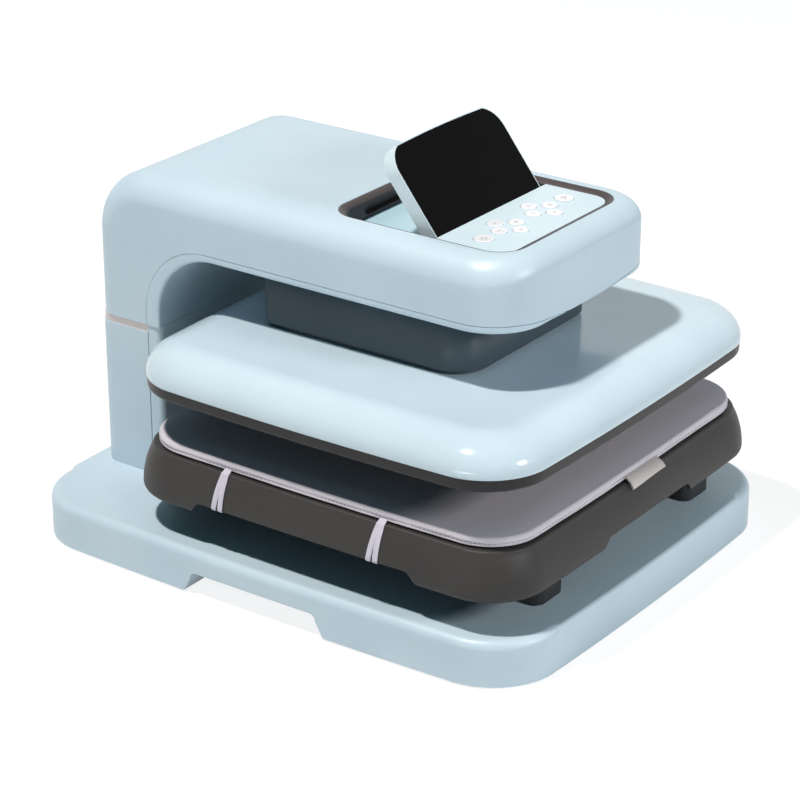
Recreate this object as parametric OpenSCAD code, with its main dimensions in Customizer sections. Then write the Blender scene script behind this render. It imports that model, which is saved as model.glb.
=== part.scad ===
// Automatic heat press: a base with a column and an arm, a platen that a lead screw drives down
// from the arm, a pull-out tray with a padded top, and a fold-down screen above the keys.
// Millimetres. +Z is up, the front faces -Y, and the origin is under the middle of the base.

/* [Base] */
// Width of the base between its corners
base_w = 430; // [428:1:460]
// Depth of the base between its corners
base_d = 526; // [520:1:560]
// Height of the base cover
base_h = 41; // [38:0.5:46]
// Corner radius of the base in plan
base_r = 57; // [45:1:65]
// How far each side of the base bulges at its middle
base_bow = 6; // [3:0.5:9]
// Wall of the moulded covers
wall = 3; // [2.5:0.1:3.4]
// Radius of the wide rounded edge along the sides
base_edge_wide = 12; // [10.5:0.5:13]
// Radius of the narrow edge at the middle of the front and back
base_edge_narrow = 3; // [2:0.5:5]
// Distance from a corner's start to the step where the two edges meet
edge_step_in = 8; // [6:1:20]
// Length of each step
edge_step_len = 10; // [8:1:12]
// Thickness of the steel base plate
base_plate_t = 3; // [2.5:0.5:4]
// Height of the rubber feet under the plate
base_foot_h = 3; // [2.5:0.5:4]
// Diameter of the rubber feet
base_foot_d = 26; // [20:1:32]
// Length of each finger notch along the side
notch_len = 136; // [110:1:150]
// Height of each finger notch above the base cover's rim
notch_h = 20; // [16:0.5:22]
// Depth of the hand hold behind each notch
notch_depth = 46; // [40:1:54]

/* [Column] */
// Width of the lower column
column_w = 237; // [235:0.5:238]
// Depth of the lower column
column_d = 75.5; // [72:0.5:80]
// Distance from the back of the base to the back of the column
column_setback = 7.5; // [7:0.5:12]
// Radius of the column's back corners
column_back_r = 18; // [12:1:24]
// Radius of the column's front corners
column_front_r = 6; // [4:0.5:8]
// Height of the lower column above the base
column_h = 139.5; // [132:0.5:142]
// Width of the front panel's returns on the column's sides
front_strip = 14.5; // [13:0.5:18]
// Height of the trim band between the two column shells
trim_h = 7.5; // [5:0.5:9]
// How far the upper shell stands out over the lower column
head_overhang = 2; // [1.7:0.1:2.5]

/* [Head] */
// Width of the arm and the upper shell
head_w = 239.6; // [236:0.2:242]
// Reach of the arm in front of the press axis
arm_reach = 143; // [136:1:150]
// Height of the arm from its underside to its top
arm_h = 62.3; // [61.5:0.1:68]
// Radius of the arm's front corners in plan
arm_front_r = 50; // [44:1:54]
// Radius of the upper shell's back corners in plan
head_back_r = 25; // [20:1:30]
// Radius of the long top edges
top_side_r = 24; // [20:0.5:24.5]
// Radius of the front top edge
top_front_r = 16; // [13:0.5:16.5]
// Radius of the back top edge
top_back_r = 58; // [50:1:62]
// Radius of the throat between the arm and the column
throat_r = 62; // [54:1:66]
// Height of the liner's edge below the parting line
seam_h = 6.5; // [5:0.5:9]
// Height of the neck sleeve under the arm
neck_h = 51; // [50:0.5:56]
// Width of the neck sleeve
neck_w = 200; // [194:1:206]
// Depth of the neck sleeve
neck_d = 219; // [212:1:224]
// Distance from the front of the arm to the front of the neck sleeve
neck_setback = 54; // [50:1:58]
// Corner radius of the neck sleeve
neck_r = 30; // [26:1:34]

/* [Tray and pad] */
// Distance from the column to the widest part of the tray in front of it
tray_back_gap = 22; // [18:1:26]
// Width of the tray between its corners
tray_w = 418; // [412:1:424]
// Depth of the tray between its corners
tray_d = 410; // [404:1:414]
// Corner radius of the tray in plan
tray_r = 52; // [46:1:58]
// How far each side of the tray bulges at its middle
tray_bow = 3; // [1:0.5:5]
// Height of the tray shell
tray_h = 43.5; // [41:0.5:48]
// How far the tray's wall leans in towards its top
tray_lean = 11; // [9:0.5:13]
// Height of the tray's feet
tray_foot_h = 29.5; // [27:0.5:33]
// Length of each tray foot across the tray
tray_foot_w = 40; // [34:1:44]
// Height of the raised cut-outs in the tray's lower edge
tray_cut_h = 12; // [9:0.5:13]
// Length of the cut-outs in the tray's sides
side_cut_len = 244; // [225:1:250]
// Length of the cut-outs in the tray's front and back
front_cut_len = 152; // [136:1:160]
// How far the tray pulls out
tray_travel = 240; // [200:5:250]
// Thickness of the padded top
pad_t = 12; // [10:0.5:14]
// How far the pad is set in from the tray's widest line
pad_inset = 13; // [12:0.5:16]
// Thickness of the pad's fabric cover
cloth_t = 1.2; // [1:0.1:1.6]
// Half distance between the strap pairs on one side
strap_spread = 82; // [70:1:95]
// Width of one elastic band
band_w = 4.5; // [3.5:0.5:5.5]
// Thickness of one elastic band
band_t = 1; // [0.8:0.1:1.4]
// Width of the folded tag
tag_w = 51; // [40:1:56]
// How far the folded tag stands out from the hem
tag_reach = 10; // [8:0.5:12]
// How far the folded tag falls below its seam
tag_drop = 8.5; // [6:0.5:10]

/* [Platen] */
// Width of the platen cover between its corners
platen_w = 415; // [408:1:422]
// Depth of the platen cover between its corners
platen_d = 398; // [392:1:404]
// Corner radius of the platen in plan
platen_r = 54; // [48:1:60]
// How far each side of the platen bulges at its middle
platen_bow = 5.5; // [3:0.5:7]
// Height of the platen cover
platen_cover_h = 29.5; // [29:0.5:33]
// Height of the dark skirt under the cover
skirt_h = 11; // [10.6:0.2:14]
// How far the cover's rounded edge reaches in from its side
platen_edge_in = 40; // [32:1:44]
// Height of the cover's rounded edge
platen_edge_h = 27.5; // [24:0.5:28]
// Side of the square heating plate
plate_side = 381; // [376:1:384]
// Thickness of the heating plate
plate_t = 10; // [8:0.5:11]
// Opening between the pad and the heating plate
press_gap = 42; // [38:0.5:44]
// Diameter of the heating element's tube
element_d = 7; // [6:0.5:7]
// Diameter of the lead screw
screw_d = 16; // [14:0.5:20]

/* [Screen and keys] */
// Width of the panel bezel
panel_w = 182; // [180:1:184]
// Depth of the panel bezel
panel_d = 185; // [183:1:190]
// Corner radius of the panel bezel
panel_r = 26; // [22:1:30]
// Width of the bezel's sloping edge
bezel_w = 7; // [6:0.2:7.4]
// Width of the screen
screen_w = 158; // [152:1:158]
// Height of the screen from its hinge line
screen_h = 87; // [82:0.5:88]
// Thickness of the screen housing
screen_t = 13; // [12:0.5:14]
// Radius of the screen's top corners
screen_r = 24; // [18:1:28]
// Tilt of the open screen from lying flat
screen_tilt = 52; // [45:1:60]
// Thickness of the screen's glass
glass_t = 1.2; // [1:0.1:1.6]
// Diameter of the hinge pins
hinge_pin_d = 4; // [3:0.5:5]
// Diameter of the keys in the two clusters
key_d = 14.5; // [13:0.5:15]
// Diameter of the two single keys
single_key_d = 17.5; // [16:0.5:18.5]
// Distance of a cluster's keys from its middle
key_ring = 13.1; // [12.9:0.1:14]
// Distance of each cluster from the middle of the panel
cluster_x = 26; // [25:0.5:27]
// Distance of each single key from the middle of the panel
single_key_x = 62; // [61:0.5:63]
// How far the keys stand out of the panel
key_proud = 1.6; // [1.4:0.1:2.2]
// How far a key presses down
key_travel = 0.8; // [0.6:0.1:1]

/* [Hidden] */
$fn = 48;
// Clearance between a moving piece and its neighbour
gap = 0.3;
// Clearance of a cover or board in its seat
seat = 0.1;
// Running clearance of a shaft in its bore, on the radius
run = 0.05;
// Overshoot of a cutting shape
over = 1;

// Heights, from the floor up
rim_z = base_foot_h - 1;
plate_z = base_foot_h;
plate_top = plate_z + base_plate_t;
base_top = rim_z + base_h;
trim_z = base_top + column_h;
head_z = trim_z + trim_h;
tray_z = base_top + gap + tray_foot_h;
tray_top = tray_z + tray_h;
pad_top = tray_top + pad_t;
plate_lo = pad_top + press_gap;
plate_hi = plate_lo + plate_t;
skirt_lo = plate_lo + 0.5;
cover_lo = skirt_lo + skirt_h;
cover_top = cover_lo + platen_cover_h;
neck_gap = 2.5;
neck_lo = cover_top + neck_gap;
arm_lo = neck_lo + neck_h;
arm_top = arm_lo + arm_h;
seam_z = arm_lo + seam_h;
press_travel = press_gap - gap;

// Places in plan
base_back = base_d / 2;
column_back = base_back - column_setback;
column_front = column_back - column_d;
strip_y = column_front + front_strip;
head_back = column_back + head_overhang;
press_y = column_front - tray_back_gap - tray_bow - tray_d / 2;
arm_front = press_y - arm_reach;
head_len = head_back - arm_front;
neck_y = arm_front + neck_setback + neck_d / 2;
panel_margin = 5.5;
panel_y = arm_front + top_front_r + panel_margin + panel_d / 2;
panel_front = panel_y - panel_d / 2;
panel_back = panel_y + panel_d / 2;

// Frame and drive
post_x = 94;
post_w = 30;
post_d = 35;
post_foot_lap = 16;
post_y = column_back - wall - 12 - post_d / 2;
rail_w = 16;
rail_h = 20;
frame_t = 4;
frame_z = arm_lo + wall;
rail_z = frame_z + frame_t;
rail_top = rail_z + rail_h;
rail_front = arm_front + neck_setback + 4;
gear_plate_t = 3;
gear_plate_top = rail_top + gear_plate_t;
gear_teeth = 62;
pinion_teeth = 32;
motor_d = 46;
motor_gap = 7.5;
drive_span = panel_back + motor_gap + motor_d / 2 - press_y;
tooth_module = 2 * drive_span / (gear_teeth + pinion_teeth);
gear_r = tooth_module * gear_teeth / 2;
pinion_r = tooth_module * pinion_teeth / 2;
motor_y = press_y + gear_r + pinion_r;
motor_h = 29;
motor_ear_w = 16;
motor_ear_d = 14;
motor_ear_t = 3;
shaft_d = 6;
gear_h = 8;
gear_z = rail_z + 3;
board_t = 1.6;
board_lap = 5;
power_board_lift = 30;
power_board_h = 80;
control_board_gap = 20;
control_board_d = 88;
chip_w = 24;
chip_h = 30;
chip_t = 10;
chip_pitch = 35;
can_d = 18;
can_h = 15;
slide_pad_w = 20;
slide_pad_h = 8;
journal_d = screw_d - 4;
bearing_h = 6;
bearing_d = 34;
screw_head_h = 4;
bolt_d = 8;
bolt_head_h = 5;
base_screw_d = 4;

// Platen stack
plate_r = platen_r - 9;
element_z = plate_hi + run;
insulation_lo = element_z + element_d + seat;
insulation_t = 8;
carriage_z = insulation_lo + insulation_t;
carriage_t = 4;
carriage_top = carriage_z + carriage_t;
carriage_side = 200;
screw_lo = carriage_z + 1;
nut_len = 18;
nut_d = 40;
nut_lo = screw_lo + press_travel + 1;
nut_top = nut_lo + nut_len;
nut_flange_d = 70;
nut_flange_t = 4;
platen_bolt_d = 6;
platen_bolt_x = 80;
cover_boss_x = 60;
cover_boss_d = 16;
sleeve_gap = 1.2;
sleeve_t = 2.5;
sleeve_top = arm_lo - 3;

// Panel and screen
panel_top = arm_top - wall;
panel_floor_t = 2.5;
panel_floor_gap = 3;
panel_floor_top = panel_top - screen_t - panel_floor_gap;
panel_floor_lo = panel_floor_top - panel_floor_t;
bezel_flange = 2;
panel_in_w = panel_w - 2 * bezel_w;
hinge_z = panel_top - screen_t / 2;
keypad_d = 69.5;
keypad_back = panel_front + bezel_w + keypad_d;
hinge_y = keypad_back + 0.5 + screen_t / 2;
keypad_t = 3;
keypad_skirt = 2;
key_y = panel_front + bezel_w + 36.5;
key_flange = 1.2;
key_top = panel_top + key_proud;
key_flange_top = panel_top - keypad_t - gap;
key_flange_t = 2.5;
key_stem_d = 6;
key_stem_lo = key_flange_top - key_flange_t - 1.6;
dome_h = 1.4;
dome_gap = 0.4;
key_board_top = key_stem_lo - key_travel - dome_gap - dome_h;
key_board_t = 1.6;
ear_t = 4;
ear_x = screen_w / 2 + 0.4;
screen_border = 0.8;
glass_low = 1;
scoop_half = 45;
scoop_cut = 5.5;
scoop_rim = 3;
screen_crown = 2;

// Tray details
tray_round = 7;
tray_floor_t = 3;
tray_floor_z = tray_z + tray_cut_h + 2;
tray_floor_h = tray_floor_z + tray_floor_t - tray_z;
tray_foot_d = 34;
tray_foot_r = 9;
tray_foot_x = tray_w / 2 - 87;
tray_foot_y = tray_d / 2 - 36;
side_cut_shift = 5;
front_cut_shift = 6;
tray_foot_shift = 8;
rail_head_w = 30;
rail_head_h = 5;
rail_web_w = 12;
guide_h = 20;
guide_lap = 55;
guide_len = tray_travel + guide_lap;
runner_len = 110;
runner_back = 150;
runner_wall = 4;
hem_h = 2.2;
strap_gap = 0.3;
tag_x = 8;
tag_t = 1.6;
tag_seam_h = 5.7;

// Where the keys are: name and place in the panel
KEYS = [
  ["key_power", [-single_key_x, 0], single_key_d],
  ["key_left_minus", [-cluster_x - key_ring, 0], key_d],
  ["key_left_up", [-cluster_x, key_ring], key_d],
  ["key_left_down", [-cluster_x, -key_ring], key_d],
  ["key_left_plus", [-cluster_x + key_ring, 0], key_d],
  ["key_right_minus", [cluster_x - key_ring, 0], key_d],
  ["key_right_up", [cluster_x, key_ring], key_d],
  ["key_right_down", [cluster_x, -key_ring], key_d],
  ["key_right_plus", [cluster_x + key_ring, 0], key_d],
  ["key_start", [single_key_x, 0], single_key_d]
];

// Colours
shell_blue = "#c8dbe6";
dark_grey = "#474645";
steel = "#9aa0a4";
board_green = "#2f5a46";

// Outline helpers. A point is [x, y, nx, ny]: its place and its outward direction.
function arc_corner(cx, cy, r, from, steps) = [
  for (i = [0:steps]) let (a = from + 90 * i / steps)
    [cx + r * cos(a), cy + r * sin(a), cos(a), sin(a)]
];
function edge_points(from, to, nx, ny, places) = [
  for (t = places) [from[0] + (to[0] - from[0]) * t, from[1] + (to[1] - from[1]) * t, nx, ny]
];
function even(count) = [for (i = [1:count]) i / (count + 1)];
function bulge(p, hw, hd, bow) = [
  p[0] + sign(p[0]) * bow * (1 - pow(p[1] / hd, 2)) * abs(p[0]) / hw,
  p[1] + sign(p[1]) * bow * (1 - pow(p[0] / hw, 2)) * abs(p[1]) / hd,
  p[2], p[3]
];
function outline(w, d, r, bow, x_places, y_places, steps = 7) =
  let (hw = w / 2, hd = d / 2)
  [for (p = concat(
    arc_corner(hw - r, hd - r, r, 0, steps),
    edge_points([hw - r, hd], [r - hw, hd], 0, 1, x_places),
    arc_corner(r - hw, hd - r, r, 90, steps),
    edge_points([-hw, hd - r], [-hw, r - hd], -1, 0, y_places),
    arc_corner(r - hw, r - hd, r, 180, steps),
    edge_points([r - hw, -hd], [hw - r, -hd], 0, -1, x_places),
    arc_corner(hw - r, r - hd, r, 270, steps),
    edge_points([hw, r - hd], [hw, hd - r], 1, 0, y_places)))
    bulge(p, hw, hd, bow)];
function inset_2d(o, d) = [for (p = o) [p[0] - d * p[2], p[1] - d * p[3]]];
function ring(o, d, z) = [for (p = o) [p[0] - d * p[2], p[1] - d * p[3], z]];
function shifted(o, dy) = [for (p = o) [p[0], p[1] + dy, p[2], p[3]]];
function joined(lists) = [for (l = lists) each l];
function smooth(t) = let (c = max(0, min(1, t))) c * c * (3 - 2 * c);

// A solid through a list of rings with equal point counts, closed by a cap at each end
module loft(rings) {
  n = len(rings[0]);
  last = (len(rings) - 1) * n;
  sides = [
    for (k = [0:len(rings) - 2], i = [0:n - 1]) let (a = k * n + i, b = k * n + (i + 1) % n)
      each [[a, b + n, b], [a, a + n, b + n]]
  ];
  caps = [[for (i = [0:n - 1]) i], [for (i = [0:n - 1]) last + n - 1 - i]];
  polyhedron(points = joined(rings), faces = concat(sides, caps), convexity = 8);
}

// A closed band round an outline: profile is a loop of [inset, height]
module band(o, profile) {
  n = len(o);
  m = len(profile);
  points = joined([for (p = profile) ring(o, p[0], p[1])]);
  faces = [
    for (k = [0:m - 1], i = [0:n - 1])
      let (a = k * n + i, b = k * n + (i + 1) % n, c = ((k + 1) % m) * n)
        each [[a, c + (i + 1) % n, b], [a, c + i, c + (i + 1) % n]]
  ];
  polyhedron(points = points, faces = faces, convexity = 8);
}

// A rectangle with round corners
module rounded(w, d, r) {
  square([w - 2 * r, d], center = true);
  square([w, d - 2 * r], center = true);
  for (sx = [-1, 1], sy = [-1, 1])
    translate([sx * (w / 2 - r), sy * (d / 2 - r)]) circle(r);
}

// A rectangle from y0 to y1 with front corners rf and back corners rb
module housing_2d(w, y0, y1, rf, rb) {
  translate([-w / 2, y0 + rf]) square([w, y1 - y0 - rf - rb]);
  translate([rf - w / 2, y0]) square([w - 2 * rf, rf + 0.01]);
  translate([rb - w / 2, y1 - rb - 0.01]) square([w - 2 * rb, rb + 0.01]);
  for (s = [-1, 1]) {
    translate([s * (w / 2 - rf), y0 + rf]) circle(rf);
    translate([s * (w / 2 - rb), y1 - rb]) circle(rb);
  }
}

module tube(w, d, r, t, h) {
  linear_extrude(h) difference() {
    rounded(w, d, r);
    rounded(w - 2 * t, d - 2 * t, r - t);
  }
}

// A shape drawn in the Y-Z plane, pushed out along X over the width w
module across(w) {
  translate([-w / 2, 0, 0]) rotate([90, 0, 90]) linear_extrude(w) children();
}

module at_press() {
  translate([0, press_y, 0]) children();
}

// Base

edge_step_x = base_w / 2 - base_r - edge_step_in;
step_start = edge_step_x - edge_step_len / 2;
front_run = base_w - 2 * base_r;
step_places = [for (i = [0:6]) 0.5 - (step_start + edge_step_len * (6 - i) / 6) / front_run];
mid_places = [for (i = [1:4]) 0.5 - step_start / front_run * (1 - i * 2 / 5)];
front_places = concat(step_places, mid_places, [for (i = [0:6]) 1 - step_places[6 - i]]);
base_outline = outline(base_w, base_d, base_r, base_bow, front_places, even(7));

// The edge radius grows from narrow to wide across each step
function edge_radius(p) = base_edge_narrow
  + (base_edge_wide - base_edge_narrow) * smooth((abs(p[0]) - step_start) / edge_step_len);
function base_edge_ring(a) = [
  for (p = base_outline) let (r = edge_radius(p), d = r * (1 - cos(a)))
    [p[0] - d * p[2], p[1] - d * p[3], base_top - r * (1 - sin(a))]
];

notch_slope = 8;
notch_round = 6;
notch_top = rim_z + notch_h;
boss_places = [[-1, -1], [1, -1], [-1, 1], [1, 1], [0, -1]];
function boss_xy(b) = [b[0] * (base_w / 2 - 62), b[1] * (base_d / 2 - 40)];

module notch_2d(grow) {
  half = notch_len / 2 + grow;
  top = notch_top + grow;
  points = concat(
    [[-half - notch_slope, rim_z - over], [half + notch_slope, rim_z - over]],
    [for (i = [0:4]) let (a = 90 * i / 4)
      [half - notch_round + notch_round * cos(a), top - notch_round + notch_round * sin(a)]],
    [for (i = [0:4]) let (a = 90 + 90 * i / 4)
      [notch_round - half + notch_round * cos(a), top - notch_round + notch_round * sin(a)]]);
  polygon(points);
}

module hand_hold(side, grow, depth_in, depth_out) {
  x0 = base_w / 2 - notch_depth - grow;
  translate([side > 0 ? x0 : -x0 - depth_out - depth_in, 0, 0])
    rotate([90, 0, 90]) linear_extrude(depth_in + depth_out) notch_2d(grow);
}

module base_cover() {
  color(shell_blue) difference() {
    union() {
      loft(concat(
        [for (s = [[11, base_top - wall], [5.5, base_top - 7], [0, base_top - base_edge_wide]])
          ring(base_outline, wall + s[0], s[1])],
        [ring(base_outline, wall, rim_z), ring(base_outline, 0, rim_z)],
        [for (i = [0:5]) base_edge_ring(90 * i / 5)]));
      for (side = [-1, 1]) intersection() {
        hand_hold(side, wall, notch_depth, wall + base_bow - wall / 2);
        translate([-base_w, -base_d, rim_z]) cube([2 * base_w, 2 * base_d, base_h - 2 * wall]);
      }
      for (b = boss_places)
        translate([boss_xy(b)[0], boss_xy(b)[1], plate_top])
          cylinder(d = 12, h = base_top - wall / 2 - plate_top);
    }
    for (side = [-1, 1]) hand_hold(side, 0, notch_depth, 20);
    for (b = boss_places)
      translate([boss_xy(b)[0], boss_xy(b)[1], plate_top - over])
        cylinder(d = base_screw_d + 2 * run, h = 15);
    for (s = [-1, 1])
      translate([s * post_x - post_w / 2 - 1, post_y - post_d / 2 - 1, base_top - 2 * wall])
        cube([post_w + 2, post_d + 2, 3 * wall]);
  }
}

module base_plate() {
  cut_x = base_w / 2 - notch_depth - 2 * wall;
  cut_len = notch_len + 2 * notch_slope + 4 * wall;
  color(steel) difference() {
    translate([0, 0, plate_z]) linear_extrude(base_plate_t) polygon(inset_2d(base_outline, wall + 0.6));
    for (s = [-1, 1])
      translate([s > 0 ? cut_x : -cut_x - base_w, -cut_len / 2, plate_z - over])
        cube([base_w, cut_len, base_plate_t + 2 * over]);
    for (b = boss_places)
      translate([boss_xy(b)[0], boss_xy(b)[1], plate_z - over])
        cylinder(d = base_screw_d + 2 * run, h = base_plate_t + 2 * over);
    for (p = post_bolts)
      translate([p[0], p[1], plate_z - over]) cylinder(d = bolt_d + 2 * run, h = base_plate_t + 2 * over);
  }
}

module base_feet() {
  color("#2b2b2b") for (sx = [-1, 1], sy = [-1, 0.1, 1])
    translate([sx * (base_w / 2 - 36 - 60 * (1 - abs(sy)) / 0.9), sy * (base_d / 2 - 68), 0])
      cylinder(d = base_foot_d, h = base_foot_h);
}

// Column

post_bolt_step = (post_d + post_foot_lap) / 2;
post_bolts = [for (sx = [-1, 1], sy = [-1, 1]) [sx * post_x, post_y + sy * post_bolt_step]];
rail_bolts = [for (sx = [-1, 1], sy = [-1, 1]) [sx * post_x, post_y + sy * post_d / 4]];
inlet_x = -32;
inlet_z = base_top + 38;
inlet_w = 28;
inlet_h = 22;

module column_ring() {
  difference() {
    housing_2d(column_w, column_front, column_back, column_front_r, column_back_r);
    housing_2d(column_w - 2 * wall, column_front + wall, column_back - wall,
               column_front_r - wall, column_back_r - wall);
  }
}

module column_cover() {
  color(shell_blue) difference() {
    translate([0, 0, base_top]) linear_extrude(column_h) intersection() {
      column_ring();
      translate([-column_w, strip_y + seat]) square([2 * column_w, column_d]);
    }
    translate([inlet_x - inlet_w / 2 - seat, column_back - 2 * wall, inlet_z - inlet_h / 2 - seat])
      cube([inlet_w + 2 * seat, 3 * wall, inlet_h + 2 * seat]);
  }
}

module column_front_panel() {
  color(shell_blue) translate([0, 0, base_top]) linear_extrude(column_h + trim_h) intersection() {
    column_ring();
    translate([-column_w, strip_y - column_d]) square([2 * column_w, column_d]);
  }
}

// The band carries the head's rim on its upper face, and ends at the front panel on each side
module column_trim_band() {
  lap = 1;
  grow = (head_w - column_w) / 2 - wall + lap;
  color("#c4b9b9") translate([0, 0, trim_z]) linear_extrude(trim_h) difference() {
    housing_2d(column_w + 2 * grow, column_front, column_back + grow, column_front_r, column_back_r + grow);
    housing_2d(column_w - 2 * wall - 2 * lap, column_front + wall, column_back - wall - lap,
               column_front_r - wall, column_back_r - wall - lap);
    translate([-column_w, strip_y + seat - column_d]) square([2 * column_w, column_d]);
  }
}

module column_frame() {
  foot_t = 4;
  foot_d = post_d + 2 * post_foot_lap;
  color(steel) difference() {
    for (s = [-1, 1]) translate([s * post_x, post_y, 0]) {
      translate([-post_w / 2, -post_d / 2, plate_top]) cube([post_w, post_d, frame_z - plate_top]);
      translate([-post_w / 2, -foot_d / 2, plate_top]) cube([post_w, foot_d, foot_t]);
    }
    for (p = post_bolts)
      translate([p[0], p[1], plate_top - over]) cylinder(d = bolt_d + 2 * run, h = foot_t + 2 * over);
    for (p = rail_bolts)
      translate([p[0], p[1], frame_z - 20]) cylinder(d = bolt_d + 2 * run, h = 20 + over);
  }
}

module frame_screws() {
  color("#5f6468") {
    for (p = post_bolts) translate([p[0], p[1], plate_z]) {
      cylinder(d = bolt_d, h = base_plate_t + 4);
      translate([0, 0, base_plate_t + 4]) cylinder(d = bolt_d + 5, h = bolt_head_h);
    }
    for (p = rail_bolts) translate([p[0], p[1], frame_z - 20]) {
      cylinder(d = bolt_d, h = 20 + frame_t + rail_h);
      translate([0, 0, 20 + frame_t + rail_h]) cylinder(d = bolt_d + 5, h = bolt_head_h);
    }
    for (b = boss_places) translate([boss_xy(b)[0], boss_xy(b)[1], 0]) {
      translate([0, 0, plate_z - 2]) cylinder(d = base_screw_d + 4, h = 2);
      translate([0, 0, plate_z]) cylinder(d = base_screw_d, h = base_plate_t + 12);
    }
  }
}

module power_inlet() {
  depth = 20;
  color("#1f1f20") translate([inlet_x, column_back, inlet_z]) difference() {
    union() {
      translate([-inlet_w / 2 - 3, 0, -inlet_h / 2 - 3]) cube([inlet_w + 6, 2.5, inlet_h + 6]);
      translate([-inlet_w / 2, -depth, -inlet_h / 2]) cube([inlet_w, depth, inlet_h]);
    }
    difference() {
      translate([-11, -15, -8]) cube([22, 20, 16]);
      for (p = [[-7, -1.5], [0, 3], [7, -1.5]]) translate([p[0] - 1, -15, p[1] - 2]) cube([2, 12, 4]);
    }
  }
}

module power_board() {
  front = post_y - post_d / 2;
  color(board_green) translate([0, 0, base_top + power_board_lift]) {
    translate([-post_x - board_lap, front - board_t, 0])
      cube([2 * (post_x + board_lap), board_t, power_board_h]);
    for (i = [-1:1]) translate([(i - 1 / 3) * chip_pitch - chip_w / 2, front, power_board_h / 4])
      cube([chip_w, chip_t, chip_h]);
    translate([1.6 * chip_pitch, front, power_board_h / 2]) rotate([-90, 0, 0])
      cylinder(d = can_d, h = can_h);
  }
}

// Head

// One section of the head at a distance x from the middle, as points [y, z].
// t sets the section in by a wall, and drop moves its lower rim down.
function side_drop(x, hw, r) = let (e = max(0, abs(x) - (hw - r))) r - sqrt(max(0, r * r - e * e));
function head_section(x, t, drop) =
  let (
    hw = head_w / 2 - t,
    yf = arm_front + t + side_drop(x, hw, arm_front_r - t),
    yb = head_back - t - side_drop(x, hw, head_back_r - t),
    zt = arm_top - t - side_drop(x, hw, top_side_r - t),
    rf = top_front_r - t,
    rb = top_back_r - t
  )
  concat(
    [[yf, head_z - drop]],
    [for (i = [0:6]) let (a = 90 * i / 6) [yf + rf * (1 - cos(a)), zt - rf * (1 - sin(a))]],
    [for (i = [0:6]) let (a = 90 * i / 6) [yb - rb * (1 - sin(a)), zt - rb * (1 - cos(a))]],
    [[yb, head_z - drop]]);
function head_stations(hw, r) = concat(
  [for (i = [0:8]) r - hw - r * cos(90 * i / 8)],
  [for (i = [1:3]) (hw - r) * (i / 2 - 1)],
  [for (i = [0:8]) hw - r + r * sin(90 * i / 8)]);
module head_loft(t, drop) {
  loft([for (x = head_stations(head_w / 2 - t, arm_front_r - t))
    [for (p = head_section(x, t, drop)) [-x, p[0], p[1]]]]);
}

lip_low = 25;
lip_high = 95;
lip_gap = 0.4;
panel_outline = shifted(outline(panel_w, panel_d, panel_r, 0, [], [], 8), panel_y);

// At the arm's front the parting line runs down to the lower edge: this part stays with the head cover
module front_lip() {
  translate([0, arm_front + arm_front_r, 0]) rotate([90, 0, 0]) linear_extrude(arm_front_r + over)
    polygon([[-lip_low, arm_lo], [lip_low, arm_lo], [lip_high, seam_z], [lip_high, seam_z + over],
             [-lip_high, seam_z + over], [-lip_high, seam_z]]);
}

module head_cover() {
  color(shell_blue) difference() {
    head_loft(0, 0);
    head_loft(wall, over);
    difference() {
      across(2 * head_w) throat_2d(strip_y, seam_z, throat_r + seam_h);
      front_lip();
    }
    translate([0, 0, arm_top - top_front_r]) linear_extrude(2 * top_front_r)
      polygon(inset_2d(panel_outline, -seat));
  }
}

// The open throat seen from the side, with its rounded corner
module throat_2d(y1, z1, r) {
  reach = head_len + over;
  drop = arm_lo;
  translate([y1 - reach, z1 - drop]) square([reach - r, drop]);
  translate([y1 - reach, z1 - drop]) square([reach, drop - r]);
  translate([y1 - r, z1 - r]) circle(r);
}

module liner_side_2d(y1, z1, r) {
  intersection() {
    difference() {
      throat_2d(y1, z1, r);
      throat_2d(column_front, arm_lo, throat_r);
    }
    translate([arm_front, head_z]) square([head_len, arm_h + arm_lo]);
  }
}

module arm_plan(t) {
  housing_2d(head_w - 2 * t, arm_front + t, strip_y, arm_front_r - t, 0.5);
}

module throat_liner() {
  color(shell_blue) difference() {
    union() {
      intersection() {
        across(head_w) liner_side_2d(column_front + wall, arm_lo + wall, throat_r + wall);
        linear_extrude(2 * arm_lo) arm_plan(0);
      }
      intersection() {
        across(head_w) liner_side_2d(strip_y, seam_z, throat_r + seam_h);
        linear_extrude(2 * arm_lo) difference() {
          arm_plan(0);
          translate([0, wall])
            housing_2d(head_w - 2 * wall, arm_front, 2 * strip_y, arm_front_r - wall, 0.5);
        }
      }
    }
    at_press() translate([0, 0, arm_lo - over]) cylinder(d = screw_d + 14, h = wall + 2 * over);
    intersection() {
      front_lip();
      linear_extrude(2 * arm_lo) difference() {
        arm_plan(-over);
        arm_plan(wall + lip_gap);
      }
    }
  }
}

module arm_frame() {
  rail_len = post_y + post_d / 2 - rail_front;
  color(steel) difference() {
    union() {
      for (s = [-1, 1]) translate([s * post_x - rail_w / 2, rail_front, rail_z])
        cube([rail_w, rail_len, rail_h]);
      for (s = [-1, 1]) translate([s * post_x - rail_w / 2, rail_front, frame_z])
        cube([rail_w, rail_len, frame_t]);
      translate([-post_x, rail_front, frame_z]) cube([2 * post_x, neck_d - 8, frame_t]);
    }
    at_press() translate([0, 0, frame_z - over]) cylinder(d = screw_d + 14, h = frame_t + 2 * over);
    for (p = rail_bolts)
      translate([p[0], p[1], frame_z - over])
        cylinder(d = bolt_d + 2 * run, h = frame_t + rail_h + 2 * over);
  }
}

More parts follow.
